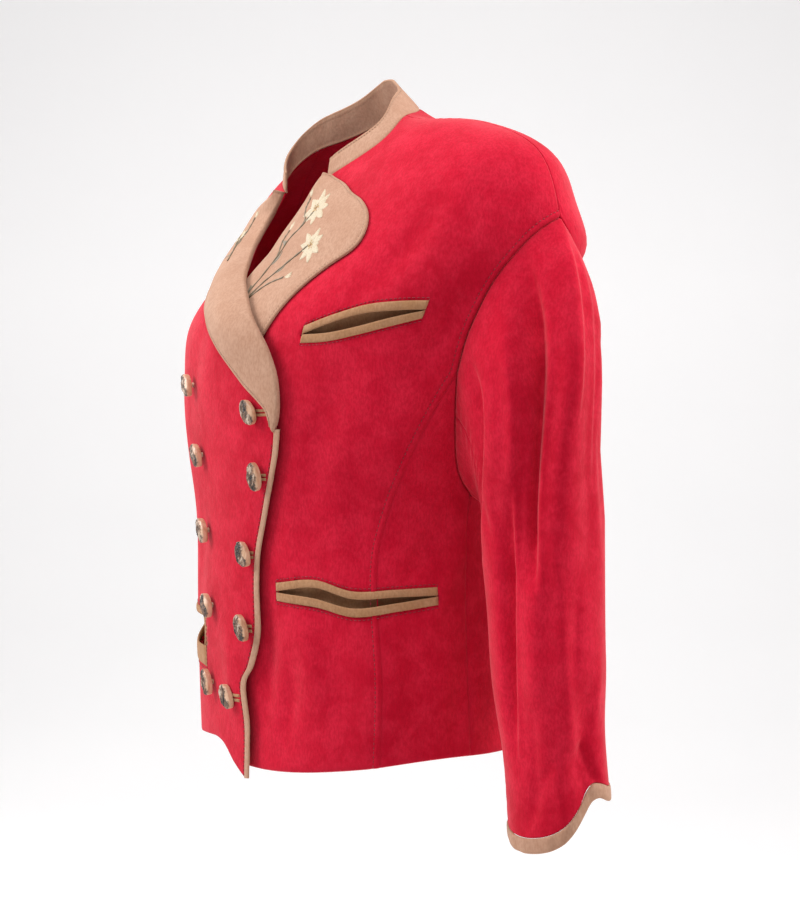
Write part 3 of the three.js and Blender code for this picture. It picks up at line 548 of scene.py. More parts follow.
def suede(name, colours, sheen, wearColour, mottle=1.0):
    # Napped leather: brushed patches, short fibres, and rubbed edges and seams.
    nodes, look = Nodes(name), suedeLook
    clouds = nodes.remap(nodes.noise(*look["clouds"], distortion=0.2), 0.3, 0.7)
    patches = nodes.remap(nodes.noise(*look["patches"], distortion=0.25), 0.34, 0.68)
    fibres = nodes.noise(*look["fibres"], stretch=look["fibreStretch"])
    grain = nodes.noise(*look["grain"])
    base = nodes.blendColours(nodes.maths("MULTIPLY", clouds, mottle), colours["deep"], colours["mid"])
    light = nodes.maths("MULTIPLY", patches, look["patchShare"] * mottle)
    base = nodes.blendColours(light, base, colours["light"])
    base = nodes.blendColours(nodes.remap(fibres, 0.36, 0.66, 0.0, look["fibreShare"]), base, colours["dark"])
    worn = nodes.maths("MULTIPLY", nodes.attribute("wear"), nodes.remap(patches, 0.1, 0.9, 0.25, 0.6))
    base = nodes.blendColours(worn, base, wearColour)
    nodes.link(base, nodes.shader.inputs["Base Color"])
    nodes.link(nodes.remap(patches, 0.0, 1.0, 0.97, 0.84), nodes.shader.inputs["Roughness"])
    nodes.shader.inputs["Specular IOR Level"].default_value = look["specular"]
    nodes.shader.inputs["Sheen Weight"].default_value = sheen["weight"]
    nodes.shader.inputs["Sheen Roughness"].default_value = sheen["roughness"]
    nodes.shader.inputs["Sheen Tint"].default_value = (*sheen["tint"], 1)
    normal = nodes.bump(patches, *look["patchBump"])
    normal = nodes.bump(fibres, *look["fibreBump"], normal)
    normal = nodes.bump(grain, *look["grainBump"], normal)
    nodes.link(normal, nodes.shader.inputs["Normal"])
    return nodes.material


redSuede = suede(
    "red suede",
    {"deep": (0.43, 0.001, 0.017), "mid": (0.55, 0.005, 0.028),
     "light": (0.74, 0.018, 0.056), "dark": (0.34, 0.001, 0.012)},
    {"weight": 0.3, "roughness": 0.4, "tint": (1.0, 0.42, 0.42)},
    (0.42, 0.004, 0.022),
)
tanSuede = suede(
    "tan suede",
    {"deep": (0.41, 0.225, 0.148), "mid": (0.49, 0.285, 0.195),
     "light": (0.58, 0.37, 0.265), "dark": (0.31, 0.15, 0.09)},
    {"weight": 0.12, "roughness": 0.5, "tint": (1.0, 0.9, 0.8)},
    (0.36, 0.19, 0.11),
    mottle=0.8,
)
stripSuede = suede(
    "strip suede",
    {"deep": (0.36, 0.18, 0.085), "mid": (0.43, 0.23, 0.12),
     "light": (0.5, 0.29, 0.17), "dark": (0.24, 0.11, 0.05)},
    {"weight": 0.1, "roughness": 0.5, "tint": (1.0, 0.88, 0.75)},
    (0.3, 0.15, 0.075),
    mottle=0.9,
)


def threadMaterial(name, colour, sheen):
    nodes = Nodes(name)
    twist = nodes.noise(1400, 2, 0.5)
    nodes.link(nodes.blendColours(nodes.remap(twist, 0.3, 0.7), tuple(c * 0.7 for c in colour), colour),
               nodes.shader.inputs["Base Color"])
    nodes.link(nodes.remap(twist, 0.3, 0.7, 0.62, 0.42), nodes.shader.inputs["Roughness"])
    nodes.shader.inputs["Sheen Weight"].default_value = sheen
    nodes.link(nodes.bump(twist, 0.4, 0.0001), nodes.shader.inputs["Normal"])
    return nodes.material


redThread = threadMaterial("red thread", (0.3, 0.004, 0.018), 0.02)
tanThread = threadMaterial("tan thread", (0.36, 0.2, 0.12), 0.2)
creamSilk = threadMaterial("cream silk", (0.62, 0.5, 0.33), 0.25)
goldSilk = threadMaterial("gold silk", (0.55, 0.33, 0.12), 0.2)
oliveSilk = threadMaterial("olive silk", (0.17, 0.12, 0.06), 0.2)


def hornMaterial():
    # Antler cut across: rough grey-black bark, and a smooth cream cut side.
    nodes = Nodes("horn")
    bark = nodes.attribute("bark")
    ridges = nodes.noise(190, 6, 0.7, stretch=(1, 1, 0.4), distortion=0.5)
    pits = nodes.remap(nodes.noise(700, 3, 0.6), 0.3, 0.7)
    streaks = nodes.noise(120, 4, 0.6, stretch=(1, 1, 0.3), distortion=0.8)
    dark = nodes.blendColours(nodes.remap(ridges, 0.44, 0.53), (0.014, 0.007, 0.005), (0.2, 0.1, 0.055))
    face = nodes.blendColours(nodes.remap(ridges, 0.53, 0.6), dark, (0.62, 0.48, 0.37))
    cutSide = nodes.blendColours(nodes.remap(streaks, 0.35, 0.65), (0.48, 0.25, 0.14), (0.66, 0.42, 0.28))
    nodes.link(nodes.blendColours(bark, cutSide, face), nodes.shader.inputs["Base Color"])
    nodes.link(nodes.remap(ridges, 0.3, 0.7, 0.22, 0.5), nodes.shader.inputs["Roughness"])
    rough = nodes.maths("MULTIPLY", nodes.maths("MULTIPLY", ridges, pits), bark)
    nodes.link(nodes.bump(rough, 0.8, 0.0012), nodes.shader.inputs["Normal"])
    nodes.shader.inputs["Coat Weight"].default_value = 0.15
    return nodes.material


horn = hornMaterial()
print("materials made")

seamLook = {
    "wall": 1.8,  # thickness of the suede
    "dip": 0.6,  # how deep a seam sinks
    "dipWidth": 1.1,
    "welt": 0.7,  # how far the cloth beside a topstitched seam stands up
    "stitchInset": 6.5,  # from the seam to its line of stitches
    "edgeInset": 1.6,  # from the right front's bound edge to its line of stitches
    "stitchDent": 0.6,
    "pucker": 0.3,  # height of the small waves beside a sewn seam
    "puckerLength": 12.5,
    "hemDepth": (20, 28),  # the turned hem thins out between these heights
    "hemThick": 1.6,  # and how much thicker it is
}


def seamRelief(distance, along, kind):
    # The cloth's height beside one edge.
    look = seamLook
    if kind == "free":
        return -0.5 * bell(distance, 1.1)
    relief = -look["dip"] * bell(distance, look["dipWidth"])
    wave = np.sin(2 * math.pi * along / look["puckerLength"] + 2.1 * np.sin(along / 37.0))
    relief += look["pucker"] * wave * bell(distance - 5, 6) * (0.55 + 0.45 * np.sin(along / 61.0 + 1.3))
    if kind == "stitched":
        relief += look["welt"] * bell(distance - 3.4, 2.2)
        relief -= look["stitchDent"] * bell(distance - look["stitchInset"], 1.0)
    return relief


def seamWear(nearest):
    # Suede is rubbed darkest on a seam and a little round it.
    return 0.9 * bell(nearest, 2.2) + 0.25 * bell(nearest, 9)


def panel(name, side, places, kinds, mouths=()):
    # A body panel as a thin shell over a grid of places, with its seams sunk and its mouths open.
    turn, level = places[..., 0], places[..., 1]
    points, normals = clothPoint(side, turn, level)
    distances = edgeDistances(points)
    relief = np.zeros(turn.shape)
    for key, kind in kinds.items():
        along = distances["bottom" if key in ("left", "right") else "left"]
        relief += seamRelief(distances[key], along, kind)
    points = points + normals * relief[..., None]
    hem = 1 - smoothStep(*seamLook["hemDepth"], distances["bottom"])
    thick = seamLook["wall"] + seamLook["hemThick"] * hem
    inner = points - normals * thick[..., None]
    keep = None
    if mouths:
        inside = np.zeros(turn.shape, bool)
        for mouth in mouths:
            inside |= mouthMask(mouth, turn, level)
        keep = ~(inside[:-1, :-1] | inside[1:, :-1] | inside[:-1, 1:] | inside[1:, 1:])
    vertices, faces = shellFaces(points, inner, keep=keep)
    nearest = np.min([distances[key] for key in kinds], axis=0)
    piece = addMesh(name, vertices, faces, redSuede, {"wear": shellValues(seamWear(nearest))})
    return piece, points, normals


pockets = [  # each row: turn, top, mouth top, mouth bottom, bottom
    {"name": "chest_pocket_left", "side": 1, "backing": 1.5, "rows": [
        (34, 5.78, 5.66, 5.62, 5.5), (41, 5.93, 5.81, 5.62, 5.5), (48, 6.03, 5.91, 5.69, 5.57),
        (55.5, 6.04, 5.92, 5.79, 5.67), (63, 6.02, 5.91, 5.87, 5.77)]},
    {"name": "hip_pocket_left", "side": 1, "backing": 0.8, "rows": [
        (27, 2.31, 2.22, 2.18, 2.09), (41, 2.34, 2.26, 2.1, 2.01), (54, 2.19, 2.11, 1.97, 1.88),
        (68, 2.19, 2.11, 2.01, 1.92), (81, 2.2, 2.11, 2.07, 1.98)]},
    {"name": "hip_pocket_right", "side": -1, "backing": 1.05, "rows": [
        (7, 1.9, 1.83, 1.44, 1.2), (24, 1.92, 1.84, 1.46, 1.26), (38, 1.96, 1.88, 1.62, 1.5),
        (52, 2.04, 1.96, 1.82, 1.73), (65, 2.1, 2.01, 1.97, 1.88)]},
]
pocketEdges = {"top": 1, "mouthTop": 2, "mouthBottom": 3, "bottom": 4}
stripLook = {
    "rows": 140,
    "across": (0, 0.05, 0.14, 0.3, 0.5, 0.7, 0.86, 1.0),  # shares from the sewn edge to the mouth
    "heights": (-0.2, 1.0, 1.5, 1.75, 1.9, 1.95, 1.9, 1.75),  # how far it stands up at each
    "wave": 0.35,
    "radius": 1.1,  # of its rounded mouth edge
    "tuck": 3.0,
    "stitchOut": 0.035,  # how far outside it the stitches run, in levels
}
facingLook = {
    "rows": 34, "columns": 110,
    "wall": 2,  # thickness of the panel in front of it
    "thick": 1.2,
    "dip": 9,  # how deep it sinks behind the middle of the mouth
    "folds": ((0.17, 0.05, 1.7), (0.27, 0.04, -1.6), (0.52, 0.07, 0.9)),  # place, width, height
}


def pocketEdge(pocket, key, share):
    rows = np.array(pocket["rows"], float)
    place = np.asarray(share, float) * (len(rows) - 1)
    return pocket["side"] * between(rows[:, 0], place), between(rows[:, pocketEdges[key]], place)


def mouthMask(pocket, turn, level):
    # True where a panel is cut away for a pocket's mouth, a little under the strips.
    shares = np.linspace(0, 1, 81)
    turns, tops = pocketEdge(pocket, "mouthTop", shares)
    lows = pocketEdge(pocket, "mouthBottom", shares)[1]
    tops = mix(tops, pocketEdge(pocket, "top", shares)[1], 0.25)
    lows = mix(lows, pocketEdge(pocket, "bottom", shares)[1], 0.25)
    order = np.argsort(turns)
    top = np.interp(turn, turns[order], tops[order])
    low = np.interp(turn, turns[order], lows[order])
    within = (turn > turns.min() + 0.6) & (turn < turns.max() - 0.6)
    return within & (level < top) & (level > low)


def makeStrip(pocket, label, outerKey, mouthKey):
    # One welt: flat to the panel along its outer edge, rounded over into the mouth.
    side = pocket["side"]
    along = np.linspace(0, 1, stripLook["rows"])
    outerTurn, outerLevel = pocketEdge(pocket, outerKey, along)
    mouthTurn, mouthLevel = pocketEdge(pocket, mouthKey, along)
    shares, heights = np.array(stripLook["across"]), np.array(stripLook["heights"])
    turn = mix(outerTurn[:, None], mouthTurn[:, None], shares)
    level = mix(outerLevel[:, None], mouthLevel[:, None], shares)
    ends = smoothStep(0, 0.012, along) * smoothStep(0, 0.012, 1 - along)
    wave = stripLook["wave"] * np.sin(along * 23 + 1.1 * np.sin(along * 7)) * np.sin(math.pi * along)
    height = heights[None] * (0.15 + 0.85 * ends[:, None]) + wave[:, None] * shares[None]
    points, normals = clothPoint(side, turn, level, height)
    sheet = rollOver(points, normals, stripLook["radius"], stripLook["tuck"])
    wear = np.zeros(sheet.shape[:2])
    wear[:, :2] = 0.9  # along the stitches
    wear[:, 6:10] = 0.55  # on the rounded edge
    row, column = stripLook["rows"] // 2, 3
    faces = turnedOut(gridFaces(gridNumbers(sheet)), sheet, row, column, normals[row, column])
    name = f"{pocket['name']}_{label}"
    piece = addMesh(f"{name}_sewn", sheet.reshape(-1, 3), faces, stripSuede, {"wear": wear.reshape(-1)})
    finish(piece, name)


def makeFacing(pocket):
    # The cloth that shows behind a gaping mouth, with a few soft folds of its own.
    side, look = pocket["side"], facingLook
    along, across = np.linspace(0, 1, look["columns"]), np.linspace(0, 1, look["rows"])
    lowTurn, low = pocketEdge(pocket, "bottom", along)
    high = pocketEdge(pocket, "top", along)[1]
    turn = np.broadcast_to(lowTurn, (look["rows"], look["columns"]))
    level = mix(low[None], high[None], across[:, None])
    middle = np.sin(math.pi * across)[:, None]
    dip = look["dip"] * middle * np.sin(math.pi * along)[None]
    folds = sum(height * bell(along - place, wide) for place, wide, height in look["folds"])
    edge = np.minimum(across, 1 - across)[:, None]
    inset = smoothStep(0, 0.12, edge)  # its edges hug the panel
    depth = look["wall"] + 0.1 + (0.3 + pocket["backing"]) * inset + dip - folds[None] * middle
    points, normals = clothPoint(side, turn, level, -depth)
    vertices, faces = shellFaces(points, points - normals * look["thick"])
    if side < 0:
        faces = faces[:, ::-1]
    name = f"{pocket['name']}_facing"
    wear = shellValues(0.4 * bell(edge + 0 * along, 0.1))
    piece = addMesh(f"{name}_sewn", vertices, faces, stripSuede, {"wear": wear})
    finish(piece, name)


def finish(piece, node):
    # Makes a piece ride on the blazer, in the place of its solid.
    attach(piece, "root")
    if node:
        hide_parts(node)


def pathLength(path):
    return np.append(0, np.cumsum(np.linalg.norm(np.diff(path, axis=0), axis=1)))


stitchLook = {"red": (3.0, 1.1, 0.36), "tan": (2.4, 0.8, 0.26)}  # length, gap, half thickness
stitchRing = ((1, 0), (0.3, 0.95), (-0.7, 0.6), (-0.7, -0.6), (0.3, -0.95))  # a thread's section
stitchRows = ((-0.5, -0.35, 0.55), (-0.25, 0.16, 1), (0.25, 0.16, 1), (0.5, -0.35, 0.55))  # along, rise, size


def makeStitches(name, runs, material, slot, length, gap, thick):
    # Small sunk thread stitches along paths, joined into one mesh. A run is a path with its normals.
    vertices, faces, sides = [], [], len(stitchRing)
    spots, rises, sizes = np.array(stitchRows).T
    for path, normals in runs:
        lengths = pathLength(path)
        count = int(lengths[-1] // (length + gap))
        starts = (np.arange(count) + 0.5) * lengths[-1] / max(count, 1)
        for start in starts:
            places = start + length * spots
            centre = np.stack([np.interp(places, lengths, path[:, k]) for k in range(3)], -1)
            out = unit(np.array([np.interp(start, lengths, normals[:, k]) for k in range(3)]))
            ahead = unit(centre[-1] - centre[0])
            across = unit(np.cross(out, ahead))
            first = len(vertices)
            for ring, size in zip(centre + rises[:, None] * out, sizes):
                for x, y in stitchRing:
                    vertices.append(ring + thick * size * (across * y + out * x))
            for j in range(len(stitchRows) - 1):
                for i in range(sides):
                    a, b = first + sides * j + i, first + sides * j + (i + 1) % sides
                    faces.append((a, b, b + sides, a + sides))
    finish(addMesh(name, np.array(vertices), faces, material), None)


def besideColumn(points, normals, distances, inset):
    # The line on a grid at a distance from one of its side edges.
    path, outs = [], []
    for j in range(points.shape[0]):
        order = np.argsort(distances[j])
        spots = distances[j][order]
        path.append([np.interp(inset, spots, points[j, order, k]) for k in range(3)])
        outs.append([np.interp(inset, spots, normals[j, order, k]) for k in range(3)])
    return np.array(path), unit(np.array(outs))


step = 4  # width of the squares that the cloth is made of
princess, sideRun = seamRun(princessSeam), seamRun(sideSeam)
underArm, armFront, armBack = seamRun(armholeLow), seamRun(armholeFront), seamRun(armholeBack)
neckRun = seamRun(neckline)
shoulderPlace = seamShares["neckFront"] / (seamShares["neckFront"] + seamShares["neckBack"])
neckFront, neckBack = stretch(neckRun, 0, shoulderPlace), stretch(neckRun, shoulderPlace, 1)
shoulder = straight(neckRun(shoulderPlace), armFront(1.0))
panelSize = {"front": (260, 640), "sideFront": (90, 330), "back": (640, 640)}  # rough width and length
threadOut = 0.1  # how far a thread lies above the cloth
redRuns, tanRuns = [], []  # paths of the red and the tan stitches


def clothEdge(share):
    return seamRun(edgeRight)(share) - (bindingTurn, 0)


def addRun(runs, path, outs):
    runs.append((path + outs * threadOut, outs))


def makeFront(side):
    left, shares = side > 0, seamShares
    flip = (lambda run: run) if left else mirrored
    edge = seamRun(edgeLeft) if left else clothEdge
    roll = seamRun(rollLineLeft if left else rollLineRight)
    inner = joined((edge, shares["edge"]), (roll, shares["roll"]), (flip(neckFront), shares["neckFront"]))
    outer = flip(joined((princess, shares["princess"]), (armFront, shares["armFront"])))
    bottom = straight(inner(0.0), outer(0.0)) if left else seamRun(hemRight)
    width, length = panelSize["front"]
    across, up = stations(width, step), stations(length, step + 1)
    places = spread(bottom, flip(shoulder), inner, outer, across, up)
    if not left:
        places = places[:, ::-1]
    name = f"front_{'left' if left else 'right'}"
    free, sewn = ("left", "right") if left else ("right", "left")
    kinds = {"bottom": "free", "top": "seam", free: "free", sewn: "stitched"}
    mouths = [pocket for pocket in pockets if pocket["side"] == side]
    piece, points, normals = panel(name + "_sewn", side, places, kinds, mouths)
    finish(piece, name)
    distances = edgeDistances(points)
    addRun(redRuns, *besideColumn(points, normals, distances[sewn], seamLook["stitchInset"]))
    if not left:
        rows = shares["edge"] + shares["roll"] + shares["neckFront"]
        low = int(len(up) * shares["edge"] / rows)  # up to the roll line, beside the binding
        near = distances[free][:low]
        addRun(redRuns, *besideColumn(points[:low], normals[:low], near, seamLook["edgeInset"]))


def makeSideFront(side):
    bottom = straight(princess(0.0), sideRun(0.0))
    width, length = panelSize["sideFront"]
    across, up = stations(width, step), stations(length, step + 1)
    places = spread(bottom, underArm, princess, sideRun, across, up)
    if side < 0:
        places = (places * (-1, 1))[:, ::-1]
    name = f"side_front_{'left' if side > 0 else 'right'}"
    kinds = {"bottom": "free", "top": "seam", "left": "seam", "right": "seam"}
    mouths = [pocket for pocket in pockets if pocket["side"] == side and "hip" in pocket["name"]]
    piece, _, _ = panel(name + "_sewn", side, places, kinds, mouths)
    finish(piece, name)


def makeBack():
    left = joined((sideRun, seamShares["side"]), (armBack, seamShares["armBack"]))
    runs = [backwards(shoulder), neckBack, aroundBack(backwards(neckBack)), aroundBack(shoulder)]
    counts = [seamShares[key] for key in ("shoulder", "neckBack", "neckBack", "shoulder")]
    top = joined(*zip(runs, counts))
    right = aroundBack(left)
    width, length = panelSize["back"]
    across, up = stations(width, step + 1), stations(length, step + 1)
    corners = np.cumsum(counts)[:3] / sum(counts)  # the collar's two ends and the centre back
    across = np.unique(np.concatenate([across, corners]))
    places = spread(straight(left(0.0), right(0.0)), top, left, right, across, up)
    kinds = {"bottom": "free", "top": "seam", "left": "seam", "right": "seam"}
    piece, _, _ = panel("back_sewn", 1, places, kinds)
    finish(piece, "back")


for side in (1, -1):
    makeFront(side)
    makeSideFront(side)
makeBack()
print("body panels made")


def stitchRound(pocket):
    # The line of stitches just outside a pocket's strips.
    shares = np.linspace(0, 1, 120)
    outline = []
    for key, order in (("top", shares), ("bottom", shares[::-1])):
        turns, levels = pocketEdge(pocket, key, order)
        outline.append(np.stack([turns, levels + stripLook["stitchOut"] * (1 if key == "top" else -1)], -1))
    outline = np.vstack(outline + [outline[0][:1]])
    redRuns.append(clothPoint(pocket["side"], outline[:, 0], outline[:, 1], 0.15))


for pocket in pockets:
    makeStrip(pocket, "upper_strip", "top", "mouthTop")
    makeStrip(pocket, "lower_strip", "bottom", "mouthBottom")
    makeFacing(pocket)
    stitchRound(pocket)
print("pockets made")

sectionColumns = ("z", "x", "y", "halfX", "halfY")
sleeveSections = dict(zip(sectionColumns, np.array([
    (-412, 267, 46, 59, 52), (-470, 268, 49, 57, 49), (-530, 268, 52, 55, 47), (-590, 269, 57, 50, 41),
    (-654, 271, 61, 51, 40)], float).T))
sleeveFolds = [  # around, from, to, wide, depth: the large ones
    (66, 0.1, 0.62, 15, -8),
    (38, 0.04, 0.5, 13, -7),
    (52, 0.12, 0.55, 12, 4),
    (18, 0.02, 0.7, 15, 4),
    (-14, 0, 0.6, 15, -5),
    (72, 0.5, 0.92, 14, -5),
    (0, 0.72, 1.1, 18, -6),
    (-150, 0.3, 0.9, 18, -5),
    (150, 0.25, 0.8, 16, -4),
    (-56, 0, 0.3, 36, 5),
]
sleeveCreases = [  # creases: around, from, to, wide, depth, lean round the sleeve, width of a sharper side
    (-60, 0.0, 0.14, 34, 4, 0, 33),
    (41, 0.0, 0.56, 15, -14, 10, 3),
    (66, 0.05, 0.52, 9, 5, 8, 6),
    (108, 0.03, 0.5, 15, -8, 26, 4),
    (76, 0.33, 0.86, 9, -8, 20, 4),
    (7, 0.0, 0.3, 13, 4, 6, 3),
    (-14, 0.02, 0.4, 8, 2.2, -6, 3),
    (-32, 0.06, 0.42, 26, -5, 0),
    (46, 0.5, 0.78, 12, 3, 6, 8),
    (20, 0.56, 0.9, 10, 2.5, -10, 7),
    (-4, 0.86, 0.985, 9, -4, -24, 6),
    (60, 0.85, 0.97, 14, -2.5, 40, 9),
    (58, 0.2, 0.52, 5, -2.2, 10),
    (31, 0.14, 0.42, 5, -1.8, 8),
    (82, 0.3, 0.55, 6, -2.4, -14),
    (96, 0.34, 0.5, 6, -2.0, -20),
    (24, 0.4, 0.66, 6, 1.7, -12),
    (45, 0.56, 0.8, 7, -1.6, 9),
    (86, 0.6, 0.86, 6, 1.6, -8),
    (60, 0.74, 0.95, 6, -1.7, 12),
    (8, 0.5, 0.74, 6, -1.5, 8),
    (-20, 0.66, 0.9, 7, 1.6, 10),
    (-36, 0.2, 0.5, 7, -1.7, -8),
    (12, 0.84, 1.0, 7, -3.0, -26),
    (34, 0.86, 1.0, 7, 1.8, -10),
    (-60, 0.4, 0.7, 8, -1.8, 10),
    (-96, 0.3, 0.6, 8, 1.8, -8),
    (128, 0.3, 0.52, 8, -2.4, 18),
    (-120, 0.55, 0.85, 8, -1.6, 6),
    (180, 0.35, 0.6, 9, -2.0, -14),
    (2, 0.02, 0.2, 6, -1.4, 6),
]
sleeveLook = {
    "length": 600,
    "headShare": 0.46,  # of its length, from the armhole to the first section
    "headPush": 1.3,  # how strongly the cloth leaves the armhole,
    "headOut": (0.9, 0.62),  # outwards, under the arm and over it,
    "headDown": (0.35, 0.78),  # and downwards
    "parts": {"upper": (19, 34, 416), "under": (11, 19, 192)},  # from and to on the head loop, rough width
    "start": 0.0006,  # a hair's breadth off the armhole
}
cuffLook = {
    "start": 0.972,  # where the suede ends, as a share of the sleeve
    "slope": 0.6,  # how much lower its front is
    "pinch": {"around": -6, "wide": 28, "rise": 22},  # its back edge is pinched up
    "rows": (0.9735, 0.974, 0.9755, 0.98, 0.986, 0.992, 0.997),  # of the binding
    "lift": (-0.4, 0.5, 0.9, 1.1, 1.15, 1.1, 0.9),  # how far it stands up at each
    "ripple": 0.35,
    "columns": 150,
    "radius": 1.9,  # of its rounded edge
    "tuck": 9,
}
headCounts = [seamShares[key] for key in ("armFront", "underArm", "armBack")]
headTotal = sum(headCounts)
headLoop = joined(*zip((backwards(armFront), underArm, armBack), headCounts))


def aroundOf(place):
    # Degrees round the sleeve at a place on the head loop.
    lowest = headCounts[0] + headCounts[1]
    beyond = 180 + 180 * (place - lowest) / (headTotal - lowest)
    return np.where(place <= lowest, 180 * place / lowest, beyond)


def sectionPoint(around, place):
    # A point of the lower sleeve: place is the row of sleeveSections.
    section = {key: between(values, place) for key, values in sleeveSections.items()}
    angle = np.radians(around)
    drop = -section["halfY"] * np.sin(angle)
    nearCuff = smoothStep(0.3, 1, place / (len(sleeveSections["z"]) - 1))
    pinch = cuffLook["pinch"]
    hitch = pinch["rise"] * bell(turnBetween(around, pinch["around"]), pinch["wide"])
    z = section["z"] + nearCuff * (cuffLook["slope"] * drop + hitch)
    return np.stack([section["x"] + section["halfX"] * np.cos(angle), section["y"] + drop, z], -1)


def sleevePoint(place, along):
    # A point of the left sleeve: along is 0 at the armhole and 1 at the cuff's edge.
    look, around = sleeveLook, aroundOf(place)
    last, headShare = len(sleeveSections["z"]) - 1, look["headShare"]
    low = sectionPoint(around, np.maximum(along - headShare, 0) / (1 - headShare) * last)
    start = bodySurface(*np.moveaxis(headLoop(place / headTotal), -1, 0))[0]
    end = sectionPoint(around, np.zeros_like(around))
    length = np.linalg.norm(start - end, axis=-1, keepdims=True)
    outwards = 0.5 + 0.5 * np.cos(np.radians(around))
    leave = np.stack([mix(*look["headOut"], outwards), 0 * outwards, -mix(*look["headDown"], outwards)], -1)
    leave = unit(leave) * length * look["headPush"]
    arrive = unit(sectionPoint(around, np.full_like(around, 0.1)) - end) * length
    t = (along / headShare)[..., None]
    head = start * (2 * t**3 - 3 * t**2 + 1) + leave * (t**3 - 2 * t**2 + t)
    head += end * (3 * t**2 - 2 * t**3) + arrive * (t**3 - t**2)
    return np.where((along >= headShare)[..., None], low, head)


def sleeveRelief(around, along, folds):
    # The height of these folds. A fold with a sharper side also keeps its full depth for longer.
    depth = np.zeros(np.broadcast(around, along).shape)
    for middle, start, end, wide, deep, *more in folds:
        lean, sharp = (more + [0, wide][len(more):])[:2]
        share = np.clip((along - start) / (end - start), 0, 1)
        across = turnBetween(around, middle + lean * (share - 0.5))
        fade = np.sin(math.pi * share)
        if sharp != wide:
            fade = np.minimum(1, 1.7 * fade)
        depth += deep * fade * bell(across, np.where(across < 0, sharp, wide))
    return depth


def sleeveGrid(columns, rows):
    # The left sleeve's cloth over a grid of places on the head loop and shares of its length.
    place, along = np.meshgrid(columns, rows)
    points = sleevePoint(place, along)
    normals = gridNormals(points)
    around = aroundOf(place)
    relief = sleeveRelief(around, along, sleeveFolds) + sleeveRelief(around, along, sleeveCreases)
    return points + normals * relief[..., None], normals, place


def flipX(grid, side):
    return grid * (side, 1, 1)


def makeSleeve(side):
    label = "left" if side > 0 else "right"
    look, last = sleeveLook, cuffLook["start"]
    rows = np.concatenate([[look["start"]], stations(look["length"], step + 1)[1:-1] * last, [last]])
    for part, (start, end, width) in look["parts"].items():
        columns = start + stations(width, step) * (end - start)
        wide = np.concatenate([[start - 0.1], columns, [end + 0.1]])  # so that normals are true at its seams
        points, normals, _ = sleeveGrid(np.mod(wide, headTotal), rows)
        points, normals = points[:, 1:-1], normals[:, 1:-1]
        distances, relief = edgeDistances(points), 0
        for edge, along in (("left", "bottom"), ("right", "bottom"), ("bottom", "left")):
            relief = relief + seamRelief(distances[edge], distances[along], "seam")
        points = points + normals * relief[..., None]
        inner = points - normals * seamLook["wall"]
        vertices, faces = shellFaces(flipX(points, side), flipX(inner, side))
        if side < 0:
            faces = faces[:, ::-1]
        nearest = np.min([distances[edge] for edge in ("left", "right", "bottom")], axis=0)
        wear = shellValues(seamWear(nearest))
        piece = addMesh(f"{part}_sleeve_{label}_sewn", vertices, faces, redSuede, {"wear": wear})
        finish(piece, f"{part}_sleeve_{label}")
    makeCuff(side, label)


def makeCuff(side, label):
    # The tan band round a cuff: proud of the sleeve, rounded under at the edge.
    look = cuffLook
    columns = np.linspace(0, headTotal, look["columns"] + 1)[:-1]
    lift = np.array(look["lift"])[:, None]
    points, _, place = sleeveGrid(columns, look["rows"])
    normals = gridNormals(points, closed=True)
    ripple = look["ripple"] * np.sin(place * 3.1 + np.sin(place * 1.7))
    points = points + normals * (lift + ripple * (lift > 0.8))[..., None]
    rolled = rollOver(np.swapaxes(points, 0, 1), np.swapaxes(normals, 0, 1), look["radius"], look["tuck"])
    sheet = flipX(np.swapaxes(rolled, 0, 1), side)
    faces = gridFaces(gridNumbers(sheet), closed=True)
    if side < 0:
        faces = faces[:, ::-1]
    wear = np.zeros(sheet.shape[:2])
    wear[:2], wear[6:10] = 0.8, 0.6  # along its seam and on its rounded edge
    name = f"cuff_binding_{label}"
    piece = addMesh(f"{name}_sewn", sheet.reshape(-1, 3), faces, tanSuede, {"wear": wear.reshape(-1)})
    finish(piece, name)


for side in (1, -1):
    makeSleeve(side)
print("sleeves made")

collarShape = {  # from a front end to the centre back
    "rise": (20, 29, 34, 36, 35),
    "leanLeft": (0.3, 0.8, 0.8, 0.7, 0.62),
    "leanRight": (0.05, 0.2, 0.45, 0.6, 0.62),
}
collarLook = {"foot": 0.3, "thick": 2.6, "wave": 0.8, "stitchInset": 3.5, "columns": 301}


